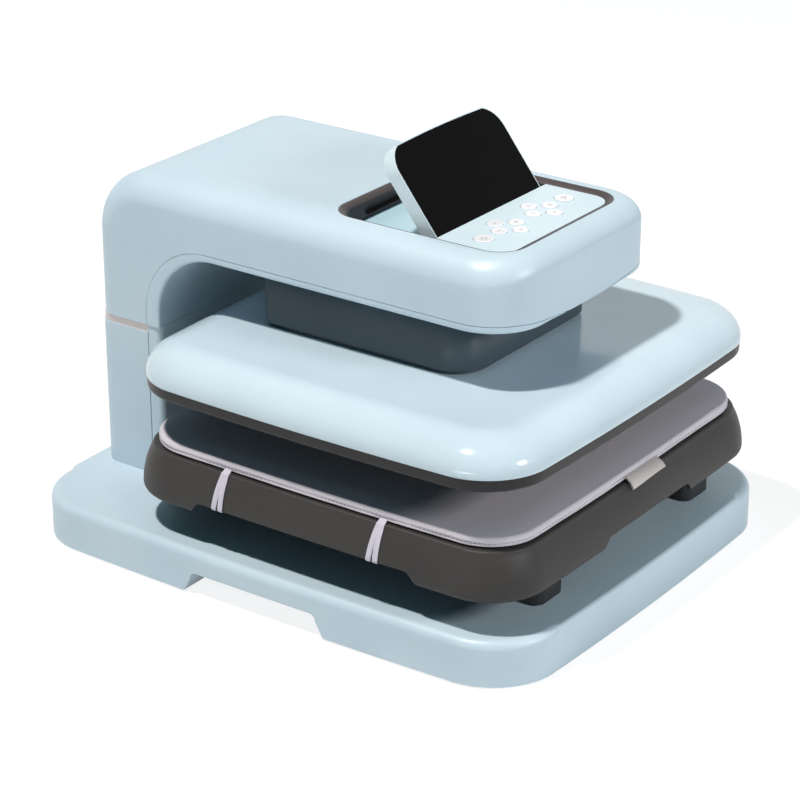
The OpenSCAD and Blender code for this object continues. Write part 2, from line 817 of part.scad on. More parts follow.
module control_board() {
  y0 = motor_y + motor_d / 2 + control_board_gap;
  color(board_green) {
    translate([-post_x - board_lap, y0, rail_top])
      cube([2 * (post_x + board_lap), control_board_d, board_t]);
    for (i = [-1:1])
      translate([(i - 1 / 3) * chip_pitch - chip_w / 2, y0 + control_board_d / 4, rail_top + board_t])
      cube([chip_w, chip_h, chip_t]);
    for (i = [1, 3]) translate([2 * chip_pitch, y0 + i * control_board_d / 4, rail_top + board_t])
      cylinder(d = can_d, h = can_h);
  }
}

module neck_sleeve() {
  color("#3f4b53") translate([0, neck_y, neck_lo]) tube(neck_w, neck_d, neck_r, wall, neck_h);
}

// Slide pads on the inside of the neck sleeve, which the inner sleeve runs against
module guide_pads() {
  pad = sleeve_gap - seat;
  color("#e6e2d6") translate([0, neck_y, neck_lo + 2]) {
    for (s = [-1, 1], i = [-1, 1])
      translate([s * (neck_w / 2 - wall) - (s > 0 ? pad : 0), i * neck_d / 4 - slide_pad_w / 2, 0])
        cube([pad, slide_pad_w, slide_pad_h]);
    for (s = [-1, 1], i = [-1, 1])
      translate([i * neck_w / 4 - slide_pad_w / 2, s * (neck_d / 2 - wall) - (s > 0 ? pad : 0), 0])
        cube([slide_pad_w, pad, slide_pad_h]);
  }
}

// Drive

module gear_2d(teeth, first) {
  r = tooth_module * teeth / 2;
  add = 0.8 * tooth_module;
  ded = 1.2 * tooth_module;
  half = 0.21 * PI * tooth_module;
  tip = half - add * tan(20);
  root = half + ded * tan(20);
  points = joined([
    for (i = [0:teeth - 1]) let (a = first + 360 * i / teeth)
      [for (q = [[r - ded, -root], [r + add, -tip], [r + add, tip], [r - ded, root]])
        let (b = a + q[1] / q[0] * 180 / PI) [q[0] * cos(b), q[0] * sin(b)]]
  ]);
  polygon(points);
}

module gear_plate() {
  front = press_y - bearing_d;
  color(steel) difference() {
    translate([-post_x - rail_w / 2, front, rail_top])
      cube([2 * post_x + rail_w, motor_y + motor_d / 2 + 6 - front, gear_plate_t]);
    at_press() translate([0, 0, rail_top - over])
      cylinder(d = journal_d + 2 * run, h = gear_plate_t + 2 * over);
    translate([0, motor_y, rail_top - over]) cylinder(d = shaft_d + 4, h = gear_plate_t + 2 * over);
  }
}

module thrust_bearing() {
  color("#b9bec2") at_press() translate([0, 0, gear_plate_top]) difference() {
    cylinder(d = bearing_d, h = bearing_h - gap / 2);
    translate([0, 0, -over]) cylinder(d = journal_d + 2 * run, h = bearing_h + 2 * over);
  }
}

module motor() {
  color("#3a3d40") translate([0, motor_y, gear_plate_top]) difference() {
    union() {
      cylinder(d = motor_d, h = motor_h);
      for (s = [-1, 1]) translate([s * (motor_d / 2 + 5) - motor_ear_w / 2, -motor_ear_d / 2, 0])
        cube([motor_ear_w, motor_ear_d, motor_ear_t]);
    }
    translate([0, 0, -over]) cylinder(d = shaft_d + 2 * run, h = motor_h - 4 + over);
  }
}

module lead_screw() {
  collar_top = rail_top - gap / 2;
  head = gear_plate_top + bearing_h;
  color("#c9ccce") at_press() {
    translate([0, 0, screw_lo]) cylinder(d = screw_d, h = gear_z - screw_lo);
    translate([0, 0, gear_z]) cylinder(d = screw_d - 2, h = gear_h);
    translate([0, 0, gear_z + gear_h]) cylinder(d = screw_d + 4, h = collar_top - gear_z - gear_h);
    translate([0, 0, collar_top - 0.01]) cylinder(d = journal_d, h = head - collar_top + 0.02);
    translate([0, 0, head]) cylinder(d = journal_d + 10, h = screw_head_h);
  }
}

module screw_gear() {
  color("#d8d3c4") at_press() translate([0, 0, gear_z]) linear_extrude(gear_h) difference() {
    gear_2d(gear_teeth, 90);
    circle(d = screw_d - 2 + 0.02);
  }
}

module motor_pinion() {
  color("#b08d57") translate([0, motor_y, 0]) {
    translate([0, 0, gear_z]) linear_extrude(gear_h) gear_2d(pinion_teeth, -90 + 180 / pinion_teeth);
    translate([0, 0, gear_z + gear_h - 0.01])
      cylinder(d = shaft_d, h = gear_plate_top + motor_h - 8 - gear_z - gear_h);
  }
}

// Panel

module panel_bezel() {
  lip = arm_top - seat;
  slope_z = panel_top - 0.5;
  flange_top = arm_top - wall - gap;
  color("#463e3e") difference() {
    band(panel_outline, [
      [0, panel_floor_top], [bezel_w, panel_floor_top], [bezel_w, slope_z], [0.8, lip], [0, lip],
      [0, flange_top], [-bezel_flange, flange_top], [-bezel_flange, flange_top - 2.5], [0, flange_top - 2.5]
    ]);
    translate([-scoop_half, panel_back - bezel_w - over, panel_floor_top + scoop_rim])
      cube([2 * scoop_half, scoop_cut + over, panel_top - panel_floor_top - 2 * scoop_rim]);
  }
}

module recess_floor() {
  color("#bcd6e2") {
    translate([0, 0, panel_floor_lo]) linear_extrude(panel_floor_t) polygon(inset_2d(panel_outline, 0));
    for (x = [-1, 1], y = [-1, 1])
      translate([x * (single_key_x + 8), key_y + y * 1.5 * key_ring, panel_floor_top - 0.01])
        cylinder(d = 5, h = key_board_top - key_board_t - panel_floor_top + 0.01);
  }
}

module keypad_panel() {
  half_w = panel_in_w / 2 - seat;
  front = panel_front + bezel_w + seat;
  inner_r = panel_r - bezel_w - seat;
  depth = keypad_back - front;
  color("#cfe0ea") difference() {
    intersection() {
      translate([0, 0, panel_floor_top]) linear_extrude(panel_top - panel_floor_top)
        polygon(inset_2d(panel_outline, bezel_w + seat));
      translate([-half_w - over, front - over, panel_floor_top])
        cube([2 * half_w + 2 * over, depth + over, panel_top - panel_floor_top]);
    }
    translate([0, front + keypad_skirt, panel_floor_top - over])
      linear_extrude(panel_top - keypad_t - panel_floor_top + over)
        housing_2d(2 * (half_w - keypad_skirt), 0, depth - 2 * keypad_skirt, inner_r - keypad_skirt, 1);
    for (k = KEYS)
      translate([k[1][0], key_y + k[1][1], panel_top - keypad_t - over])
        cylinder(d = k[2] + 2 * gap, h = keypad_t + 2 * over);
  }
}

module key_board() {
  board_w = 2 * single_key_x + 28;
  board_d = 4 * key_ring;
  color(board_green) {
    translate([-board_w / 2, key_y - board_d / 2, key_board_top - key_board_t])
      cube([board_w, board_d, key_board_t]);
    for (k = KEYS)
      translate([k[1][0], key_y + k[1][1], key_board_top - 0.01])
        cylinder(d = key_stem_d, h = dome_h + 0.01);
  }
}

module key_cap(i) {
  k = KEYS[i];
  color("#f0eef2") translate([k[1][0], key_y + k[1][1], 0]) {
    translate([0, 0, key_flange_top - key_flange_t]) cylinder(d = k[2] + 2 * key_flange, h = key_flange_t);
    translate([0, 0, key_flange_top - 0.01]) cylinder(d = k[2], h = key_top - key_flange_top - 0.59);
    translate([0, 0, key_top - 0.6]) cylinder(d1 = k[2], d2 = k[2] - 1.2, h = 0.6);
    translate([0, 0, key_stem_lo])
      cylinder(d = key_stem_d, h = key_flange_top - key_flange_t - key_stem_lo + 0.01);
  }
}

// Screen, drawn lying flat with its hinge line on the X axis, then tilted up

module screen_place() {
  translate([0, hinge_y, hinge_z]) rotate([screen_tilt, 0, 0]) children();
}

module screen_2d(inset) {
  w = screen_w - 2 * inset;
  top = screen_h - inset;
  r = screen_r - inset;
  crown_r = (w * w / 4 + screen_crown * screen_crown) / (2 * screen_crown);
  intersection() {
    union() {
      translate([-w / 2, inset]) square([w, top - inset - r]);
      translate([r - w / 2, inset]) square([w - 2 * r, top - inset]);
      for (s = [-1, 1]) translate([s * (w / 2 - r), top - r]) circle(r);
    }
    translate([0, top - crown_r]) circle(crown_r, $fn = 180);
  }
}

pin_depth = 12;
pocket_h = 6;

module screen_housing() {
  color("#d4e4ee") screen_place() difference() {
    union() {
      translate([0, 0, -screen_t / 2]) linear_extrude(screen_t) screen_2d(0);
      rotate([0, 90, 0]) cylinder(d = screen_t, h = screen_w, center = true);
    }
    translate([0, glass_low, screen_t / 2 - glass_t]) linear_extrude(glass_t + over) intersection() {
      translate([0, -glass_low]) screen_2d(screen_border);
      translate([-screen_w, 0]) square([2 * screen_w, 2 * screen_h]);
    }
    translate([0, screen_t, screen_t / 2 - glass_t - pocket_h]) linear_extrude(pocket_h + over)
      translate([0, (screen_h - 2 * screen_t) / 2])
        square([screen_w - 16, screen_h - 2 * screen_t - 16], center = true);
    for (s = [-1, 1])
      translate([s * (screen_w / 2 - pin_depth), 0, 0]) rotate([0, s * 90, 0])
        cylinder(d = hinge_pin_d + 0.02, h = pin_depth + over);
  }
}

module screen_glass() {
  color("#0b0b0d") screen_place()
    translate([0, glass_low, screen_t / 2 - glass_t]) linear_extrude(glass_t) intersection() {
      translate([0, -glass_low]) screen_2d(screen_border + seat);
      translate([-screen_w, seat]) square([2 * screen_w, 2 * screen_h]);
    }
}

module display_module() {
  color("#20262b") screen_place()
    translate([0, screen_t, screen_t / 2 - glass_t - pocket_h]) linear_extrude(pocket_h - seat)
      translate([0, (screen_h - 2 * screen_t) / 2])
        square([screen_w - 16 - 2 * seat, screen_h - 2 * screen_t - 16 - 2 * seat], center = true);
}

module hinge_pins() {
  color("#c9ccce") screen_place() for (s = [-1, 1])
    translate([s * (screen_w / 2 - pin_depth), 0, 0]) rotate([0, s * 90, 0])
      cylinder(d = hinge_pin_d, h = pin_depth + (ear_x - screen_w / 2) + ear_t);
}

module hinge_ears() {
  ear_w = 10;
  color("#463e3e") difference() {
    for (s = [-1, 1]) translate([s > 0 ? ear_x : -ear_x - ear_t, hinge_y - ear_w / 2, panel_floor_top]) {
      cube([ear_t, ear_w, hinge_z - panel_floor_top]);
      translate([0, ear_w / 2, hinge_z - panel_floor_top]) rotate([0, 90, 0])
        cylinder(d = ear_w, h = ear_t);
    }
    translate([0, hinge_y, hinge_z]) rotate([0, 90, 0])
      cylinder(d = hinge_pin_d + 2 * run, h = 2 * head_w, center = true);
  }
}

// Platen

platen_outline = outline(platen_w, platen_d, platen_r, platen_bow, even(5), even(5), 8);

module platen_cover() {
  inner_in = platen_edge_in - wall;
  inner_h = platen_edge_h - wall;
  color(shell_blue) at_press() difference() {
    union() {
      loft(concat(
        [for (i = [0:5]) let (a = 90 - 90 * i / 5)
          ring(platen_outline, wall + inner_in * (1 - cos(a)), cover_top - wall - inner_h * (1 - sin(a)))],
        [ring(platen_outline, wall, cover_lo), ring(platen_outline, 0, cover_lo)],
        [for (i = [0:8]) let (a = 90 * i / 8)
          ring(platen_outline, platen_edge_in * (1 - cos(a)), cover_top - platen_edge_h * (1 - sin(a)))]));
      for (sx = [-1, 1], sy = [-1, 1])
        translate([sx * cover_boss_x, sy * cover_boss_x, carriage_top])
          cylinder(d = cover_boss_d, h = cover_top - wall / 2 - carriage_top);
    }
    translate([0, 0, cover_top - 2 * wall]) cylinder(d = nut_d + 2, h = 3 * wall);
  }
}

module platen_skirt() {
  opening = plate_side + 2;
  color("#373536") at_press() translate([0, 0, skirt_lo]) linear_extrude(skirt_h) difference() {
    polygon(inset_2d(platen_outline, 1));
    rounded(opening, opening, plate_r + 1);
  }
}

module heating_plate() {
  color("#8d9093") at_press() difference() {
    translate([0, 0, plate_lo]) linear_extrude(plate_t) rounded(plate_side, plate_side, plate_r);
    for (sx = [-1, 1], sy = [-1, 1])
      translate([sx * platen_bolt_x, sy * platen_bolt_x, plate_hi - 6])
        cylinder(d = platen_bolt_d + 2 * run, h = 6 + over);
  }
}

// The tube of the heating element: straight runs joined by half turns
module heating_element() {
  run_x = 40;
  run_len = 260;
  color("#7b5a4a") at_press() translate([0, 0, element_z + element_d / 2]) {
    for (i = [-2:1]) translate([(2 * i + 1) * run_x, 0, 0]) rotate([90, 0, 0])
      cylinder(d = element_d, h = run_len, center = true);
    for (i = [-1:1]) let (s = abs(i) == 1 ? 1 : -1)
      translate([2 * i * run_x, s * run_len / 2, 0]) rotate([0, 0, s > 0 ? 0 : 180])
        rotate_extrude(angle = 180) translate([run_x, 0]) circle(d = element_d);
  }
}

module insulation_board() {
  side = plate_side - 40;
  color("#e9e4d8") at_press() translate([0, 0, insulation_lo]) difference() {
    linear_extrude(insulation_t) rounded(side, side, plate_r - 15);
    for (sx = [-1, 1], sy = [-1, 1])
      translate([sx * platen_bolt_x, sy * platen_bolt_x, -over])
        cylinder(d = platen_bolt_d + 1, h = insulation_t + 2 * over);
  }
}

module carriage_plate() {
  color(steel) at_press() translate([0, 0, carriage_z]) difference() {
    linear_extrude(carriage_t) rounded(carriage_side, carriage_side, 8);
    translate([0, 0, -over]) cylinder(d = screw_d + 8, h = carriage_t + 2 * over);
    for (sx = [-1, 1], sy = [-1, 1])
      translate([sx * platen_bolt_x, sy * platen_bolt_x, -over])
        cylinder(d = platen_bolt_d + 2 * run, h = carriage_t + 2 * over);
  }
}

module platen_bolts() {
  color("#5f6468") at_press() for (sx = [-1, 1], sy = [-1, 1])
    translate([sx * platen_bolt_x, sy * platen_bolt_x, plate_hi - 6]) {
      cylinder(d = platen_bolt_d, h = carriage_top - plate_hi + 6);
      translate([0, 0, carriage_top - plate_hi + 6]) cylinder(d = platen_bolt_d + 4, h = 4);
    }
}

module screw_nut() {
  color("#b08d57") at_press() difference() {
    union() {
      translate([0, 0, carriage_top]) cylinder(d = nut_flange_d, h = nut_flange_t);
      translate([0, 0, carriage_top]) cylinder(d = nut_d, h = nut_top - carriage_top);
    }
    translate([0, 0, carriage_top - over]) cylinder(d = screw_d + 6, h = nut_lo - carriage_top + over);
    translate([0, 0, nut_lo - over]) cylinder(d = screw_d + 2 * run, h = nut_len + 2 * over);
  }
}

module inner_sleeve() {
  cut = 2 * (wall + sleeve_gap);
  color("#58636b") translate([0, neck_y, cover_top])
    tube(neck_w - cut, neck_d - cut, neck_r - cut / 2, sleeve_t, sleeve_top - cover_top);
}

module temperature_sensor() {
  color("#d9d9d9") at_press() translate([0, 60, plate_hi]) {
    translate([-8, -5, 0]) cube([16, 10, 3]);
    translate([0, 0, 3]) cylinder(d = 5, h = 2.5);
  }
}

module thermal_cutout() {
  color("#202224") at_press() translate([0, -40, plate_hi]) {
    cylinder(d = 16, h = 3);
    translate([0, 0, 3]) cylinder(d = 11, h = 3);
  }
}

// Tray and pad

tray_outline = outline(tray_w, tray_d, tray_r, tray_bow, even(5), even(5), 8);
// Inset of the tray's wall at a height h above its lower edge: a rounded foot, then a growing lean
function tray_inset(h) = let (e = max(0, tray_round - h), u = h / tray_h)
  tray_round - sqrt(tray_round * tray_round - e * e) + tray_lean * pow(u, 2.4);
tray_levels = concat(
  [0, 0.08, 0.3, 0.6, 1] * tray_round,
  [for (i = [1:6]) tray_round + (tray_h - tray_round - 1.5) * i / 6]);

module tray_cut_2d(length) {
  half = length / 2;
  slope = 12;
  polygon([[-half, tray_z - over], [half, tray_z - over], [half - slope, tray_z + tray_cut_h - 2],
           [half - slope - 2, tray_z + tray_cut_h], [slope + 2 - half, tray_z + tray_cut_h],
           [slope - half, tray_z + tray_cut_h - 2]]);
}

module tray_shell() {
  color(dark_grey) at_press() difference() {
    loft(concat(
      [ring(tray_outline, tray_inset(tray_h) + wall, tray_top - wall)],
      [for (h = [0.75 * tray_h, 0.5 * tray_h, tray_floor_h, tray_round])
        ring(tray_outline, tray_inset(h) + wall, tray_z + h)],
      [ring(tray_outline, tray_round + 1, tray_z)],
      [for (h = tray_levels) ring(tray_outline, tray_inset(h), tray_z + h)],
      [ring(tray_outline, tray_inset(tray_h) + 2.5, tray_top)]));
    translate([0, side_cut_shift, 0]) across(2 * tray_w) tray_cut_2d(side_cut_len);
    translate([front_cut_shift, 0, 0]) rotate([0, 0, 90]) across(2 * tray_d) tray_cut_2d(front_cut_len);
  }
}

module tray_bottom() {
  runner_w = rail_head_w + 2 * runner_wall + 2 * gap;
  head_lo = base_top + guide_h - rail_head_h;
  lip = 3;
  color("#3b3b3c") at_press() {
    translate([0, 0, tray_floor_z]) linear_extrude(tray_floor_t)
      polygon(inset_2d(tray_outline, wall + tray_inset(tray_floor_h) + seat));
    difference() {
      translate([-runner_w / 2, runner_back - runner_len, head_lo - gap - lip])
        cube([runner_w, runner_len, tray_floor_z - head_lo + gap + lip]);
      translate([-rail_head_w / 2 - gap, runner_back - runner_len - over, head_lo - gap])
        cube([rail_head_w + 2 * gap, runner_len + 2 * over, rail_head_h + 2 * gap]);
      translate([-rail_web_w / 2 - gap, runner_back - runner_len - over, base_top])
        cube([rail_web_w + 2 * gap, runner_len + 2 * over, guide_h]);
    }
  }
}

module guide_rail() {
  color(steel) at_press() translate([0, runner_back - guide_len, base_top]) {
    translate([-rail_web_w / 2, 0, 0]) cube([rail_web_w, guide_len, guide_h - rail_head_h]);
    translate([-rail_head_w / 2, 0, guide_h - rail_head_h]) cube([rail_head_w, guide_len, rail_head_h]);
  }
}

module tray_feet() {
  color("#2e2e30") at_press() for (sx = [-1, 1], sy = [-1, 1])
    translate([sx * tray_foot_x + tray_foot_shift, sy * tray_foot_y, base_top + gap])
      linear_extrude(tray_floor_z - base_top - gap) rounded(tray_foot_w, tray_foot_d, tray_foot_r);
}

pad_outline = outline(tray_w - 2 * pad_inset, tray_d - 2 * pad_inset, tray_r - 8, tray_bow,
                      even(5), even(5), 6);
// The pad's side swells to a round nose at mid height, and its top rises to a low crown
pad_nose = 3.5;
pad_crown = 1.5;
pad_edge_h = pad_t - pad_crown;
function pad_side(a, t) = [
  pad_nose * (1 - cos(a)) + t,
  tray_top + pad_edge_h / 2 + (pad_edge_h / 2 - t) * sin(a)
];
function crown_rings(t) = [
  for (i = [0:3]) let (u = [0.05, 0.2, 0.5, 1][i])
    ring(pad_outline, pad_nose + t + u * 36, pad_top - pad_crown - t + pad_crown * smooth(0.3 + 0.7 * u))
];

module pressing_pad() {
  t = cloth_t + seat;
  color("#e7e2da") at_press() loft(concat(
    [ring(pad_outline, pad_nose + t + 1, tray_top)],
    [for (i = [0:4]) let (s = pad_side(-60 + 150 * i / 4, t)) ring(pad_outline, s[0], s[1])],
    crown_rings(t)));
}

module pad_cover() {
  t = cloth_t;
  color("#b9b4c3") at_press() loft(concat(
    [for (i = [0:3]) crown_rings(t)[3 - i]],
    [for (i = [0:4]) let (s = pad_side(90 - 150 * i / 4, t)) ring(pad_outline, s[0], s[1])],
    [ring(pad_outline, pad_nose + t, tray_top + seat), ring(pad_outline, 0.6, tray_top + seat)],
    [ring(pad_outline, 0.2, tray_top + hem_h), ring(pad_outline, 1, tray_top + hem_h + 0.3)],
    [for (i = [0:5]) let (s = pad_side(-20 + 110 * i / 5, 0)) ring(pad_outline, s[0], s[1])],
    crown_rings(0)));
}

// One elastic band down the tray's side: a strip whose section follows the wall, then hooks inside
function side_x(y) = tray_w / 2 + tray_bow * (1 - pow(y / (tray_d / 2), 2));
function band_path(y) = concat(
  [[pad_inset - tray_bow * 0.2 + 0.4, tray_top + hem_h + 1.6], [pad_inset - 0.9, tray_top + 0.7]],
  [for (i = [0:7]) let (h = tray_cut_h + (tray_h - 2 - tray_cut_h) * (7 - i) / 7)
    [tray_inset(h) - strap_gap, tray_z + h]],
  [[tray_inset(tray_cut_h) + 0.6, tray_z + tray_cut_h - strap_gap],
   [tray_inset(tray_cut_h) + wall + 3, tray_z + tray_cut_h - strap_gap]]);

module elastic_band(y_top, y_low) {
  path = band_path(y_low);
  n = len(path);
  loft([for (k = [0:n - 1])
    let (
      p = path[k],
      q = path[min(n - 1, k + 1)],
      o = path[max(0, k - 1)],
      d = [q[0] - o[0], q[1] - o[1]],
      l = norm(d),
      out = [-d[1] / l, d[0] / l],
      y = y_low + (y_top - y_low) * pow(1 - k / (n - 1), 1.3),
      x = side_x(y)
    )
    [for (c = [[0, 1], [0, -1], [1, -1], [1, 1]])
      [-(x - p[0] + abs(out[0]) * c[0] * band_t),
       y + c[1] * band_w / 2,
       p[1] - (k > n - 3 ? 1 : 0) * c[0] * band_t]]]);
}

module elastic_straps() {
  color("#cdc8d7") at_press() for (side = [0, 1], s = [-1, 1]) mirror([side, 0, 0])
    for (b = [-1, 1])
      elastic_band(
        s * strap_spread + 8 + b * band_w * 0.55,
        s * strap_spread + 12 + b * (band_w * 0.5 + 2));
}

// A folded label sewn into the pad's front seam: it stands out level, then bends down over an arc
module pad_tag() {
  bend = 60;
  root = tray_d / 2 - pad_inset + tray_bow + gap;
  function fall(a, t) = [
    -root - tag_reach * sin(a) / sin(bend) + t * sin(a),
    tray_top + tag_seam_h - tag_drop * (1 - cos(a)) / (1 - cos(bend)) - t * cos(a)
  ];
  color("#e1dedc") at_press() translate([tag_x, 0, 0]) across(tag_w)
    polygon(concat(
      [for (i = [0:6]) fall(bend * i / 6, 0)],
      [for (i = [0:6]) fall(bend * (6 - i) / 6, tag_t)]));
}

base_cover();
base_plate();
base_feet();
column_cover();
column_front_panel();
column_trim_band();
head_cover();
throat_liner();
column_frame();
arm_frame();
frame_screws();
power_inlet();
power_board();
control_board();
neck_sleeve();
guide_pads();
motor();
gear_plate();
thrust_bearing();
panel_bezel();
recess_floor();
keypad_panel();
key_board();
hinge_ears();
guide_rail();
platen_cover();
platen_skirt();
heating_plate();
heating_element();
insulation_board();
carriage_plate();
inner_sleeve();
screw_nut();
temperature_sensor();
thermal_cutout();
platen_bolts();
lead_screw();
screw_gear();
motor_pinion();
screen_housing();
screen_glass();
display_module();
hinge_pins();
key_cap(0);  // key_power
key_cap(1);  // key_left_minus
key_cap(2);  // key_left_up
key_cap(3);  // key_left_down
key_cap(4);  // key_left_plus
key_cap(5);  // key_right_minus
key_cap(6);  // key_right_up
key_cap(7);  // key_right_down
key_cap(8);  // key_right_plus
key_cap(9);  // key_start
tray_shell();
tray_bottom();
tray_feet();
pressing_pad();
pad_cover();
elastic_straps();
pad_tag();
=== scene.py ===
"""Automatic heat press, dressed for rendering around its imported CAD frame.

Sizes are in millimetres, as in the part's source, and become metres when a mesh is made. Heights and places
come from the frame; what the frame can't tell, such as a radius or a slope, is named here.
"""
import math

import bmesh
import bpy
import numpy as np
from mathutils import Matrix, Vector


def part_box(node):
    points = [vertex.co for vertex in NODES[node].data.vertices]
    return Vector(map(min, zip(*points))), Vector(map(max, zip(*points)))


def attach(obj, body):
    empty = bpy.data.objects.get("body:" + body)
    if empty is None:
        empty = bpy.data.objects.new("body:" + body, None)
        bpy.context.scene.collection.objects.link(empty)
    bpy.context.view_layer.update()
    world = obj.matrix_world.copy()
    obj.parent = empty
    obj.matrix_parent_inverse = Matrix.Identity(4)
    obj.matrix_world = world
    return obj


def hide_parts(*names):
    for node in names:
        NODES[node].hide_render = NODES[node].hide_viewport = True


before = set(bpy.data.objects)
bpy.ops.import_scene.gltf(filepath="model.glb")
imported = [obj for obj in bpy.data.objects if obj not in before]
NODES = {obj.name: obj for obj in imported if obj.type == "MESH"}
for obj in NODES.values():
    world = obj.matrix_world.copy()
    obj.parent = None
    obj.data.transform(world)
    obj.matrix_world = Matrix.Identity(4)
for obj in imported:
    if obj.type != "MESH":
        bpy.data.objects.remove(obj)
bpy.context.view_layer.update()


def span(node, axis):
    """Lowest and highest place of a CAD node along an axis, in millimetres."""
    i = "xyz".index(axis)
    return tuple(corner[i] * 1000 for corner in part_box(node))


def middle(node, axis):
    return sum(span(node, axis)) / 2


# Heights of the stack, from the floor up
RIM_Z, BASE_TOP = span("base_cover", "z")
TRIM_Z = span("column_cover", "z")[1]
HEAD_Z, ARM_TOP = span("head_cover", "z")
TRAY_Z, TRAY_TOP = span("tray_shell", "z")
PAD_TOP = span("pad_cover", "z")[1]
SKIRT_LO, COVER_LO = span("platen_skirt", "z")
COVER_TOP = span("platen_cover", "z")[1]
NECK_LO, ARM_LO = span("neck_sleeve", "z")
SEAM_Z = span("throat_liner", "z")[1]
RECESS_Z, PANEL_TOP = span("keypad_panel", "z")

# Places in plan
PRESS_Y = middle("heating_plate", "y")
COLUMN_HALF = span("column_cover", "x")[1]
COLUMN_BACK = span("column_cover", "y")[1]
COLUMN_FRONT, STRIP_Y = span("column_front_panel", "y")
HEAD_HALF = span("head_cover", "x")[1]
ARM_FRONT, HEAD_BACK = span("head_cover", "y")

# Wall of the moulded covers, the fine joint left between two of them, and the radius of their rims
WALL = 3.0
JOINT = 0.35
RIM_R, FINE_RIM_R = 0.5, 0.3
# A point lies on a side, and not in a corner, where its outward direction is along X or Y by this share
ON_SIDE = 0.99

# Outlines in plan: width and depth between the corners, corner radius and bulge of each side
BASE_PLAN = (430.0, 526.0, 57.0, 6.0)
TRAY_PLAN = (418.0, 410.0, 52.0, 3.0)
PAD_PLAN = (392.0, 384.0, 44.0, 3.0)
PLATEN_PLAN = (415.0, 398.0, 54.0, 5.5)


# The camera stands where the photograph was taken from

def place_camera():
    """The view direction is given by its azimuth and height angle, and the near corner of the base lies at a
    known pixel of the 800 x 800 frame, at a known depth along the view."""
    frame_px, focal_px = 800, 2743.3
    azimuth, height = math.radians(-54.416), math.radians(23.746)
    corner, corner_px, depth = np.array([-217.6, -259.9, 0.0]), (506.6, 703.6), 2215.6
    level = math.cos(height)
    back = np.array([math.sin(azimuth) * level, -math.cos(azimuth) * level, math.sin(height)])
    right = np.cross(-back, [0, 0, 1])
    right /= np.linalg.norm(right)
    up = np.cross(right, -back)
    across, down = ((p - frame_px / 2) / focal_px for p in corner_px)
    eye = (corner - depth * (-back + across * right - down * up)) / 1000
    data = bpy.data.cameras.new("photo_camera")
    data.sensor_fit = "HORIZONTAL"
    data.sensor_width = 36.0
    data.lens = focal_px / frame_px * data.sensor_width
    data.clip_end = 50
    camera = bpy.data.objects.new("photo_camera", data)
    bpy.context.scene.collection.objects.link(camera)
    camera.matrix_world = pose_matrix(right, up, back, eye)
    bpy.context.scene.camera = camera


def pose_matrix(right, up, back, place):
    pose = np.eye(4)
    pose[:3] = np.stack([right, up, back, place], -1)
    return Matrix(pose.tolist())


# Colours and materials

def linear(code):
    """An sRGB hex colour as a linear colour with full alpha."""
    parts = [int(code[i:i + 2], 16) / 255 for i in (1, 3, 5)]
    return tuple(c / 12.92 if c <= 0.04045 else ((c + 0.055) / 1.055) ** 2.4 for c in parts) + (1.0,)


def per_mm(size):
    """Texture scale, in cycles per metre, of a pattern whose features are this many millimetres wide."""
    return 1000.0 / size


def add(tree, kind, links=None, **settings):
    """Adds one node. A setting is a property of the node, or the value of the socket of that name; links
    joins a socket, by name or number, to another node's output, given as (node, output)."""
    node = tree.nodes.new(kind)
    for name, value in settings.items():
        if hasattr(node, name):
            setattr(node, name, value)
        else:
            node.inputs[name.replace("_", " ")].default_value = value
    for name, (source, output) in (links or {}).items():
        tree.links.new(source.outputs[output], node.inputs[name])
    return node


def new_material(name, **settings):
    """A material with one principled shader, whose sockets take the settings."""
    material = bpy.data.materials.new(name)
    material.use_nodes = True
    tree = material.node_tree
    tree.nodes.clear()
    shader = add(tree, "ShaderNodeBsdfPrincipled", **settings)
    add(tree, "ShaderNodeOutputMaterial", {"Surface": (shader, "BSDF")})
    return material, tree, shader


def two_tone(tree, shader, source, dark, light, start=0.3, stop=0.7):
    """Joins a pattern to the shader's colour through a ramp between two close colours."""
    ramp = add(tree, "ShaderNodeValToRGB", {"Fac": source})
    for mark, place, code in zip(ramp.color_ramp.elements, (start, stop), (dark, light)):
        mark.position = place
        mark.color = linear(code)
    tree.links.new(ramp.outputs["Color"], shader.inputs["Base Color"])


def moulded(name, dark, light, rough, grain_mm, grain_depth, swing=0.05, **settings):
    """A moulded plastic: a slow mottling between two close colours, and a fine spark-eroded grain that
    breaks up the gloss and gives the surface its tooth."""
    mottle_mm = 90
    material, tree, shader = new_material(name, **settings)
    place = add(tree, "ShaderNodeTexCoord")
    slow = add(tree, "ShaderNodeTexNoise", {"Vector": (place, "Object")}, Scale=per_mm(mottle_mm), Detail=3.0)
    two_tone(tree, shader, (slow, "Fac"), dark, light)
    grain = add(tree, "ShaderNodeTexNoise", {"Vector": (place, "Object")}, Scale=per_mm(grain_mm), Detail=2.0)
    gloss = add(tree, "ShaderNodeMapRange", {"Value": (grain, "Fac")}, From_Min=0.25, From_Max=0.75,
                To_Min=rough - swing, To_Max=rough + swing)
    tree.links.new(gloss.outputs["Result"], shader.inputs["Roughness"])
    bump = add(tree, "ShaderNodeBump", {"Height": (grain, "Fac")}, Strength=0.5, Distance=grain_depth / 1000)
    tree.links.new(bump.outputs["Normal"], shader.inputs["Normal"])
    return material


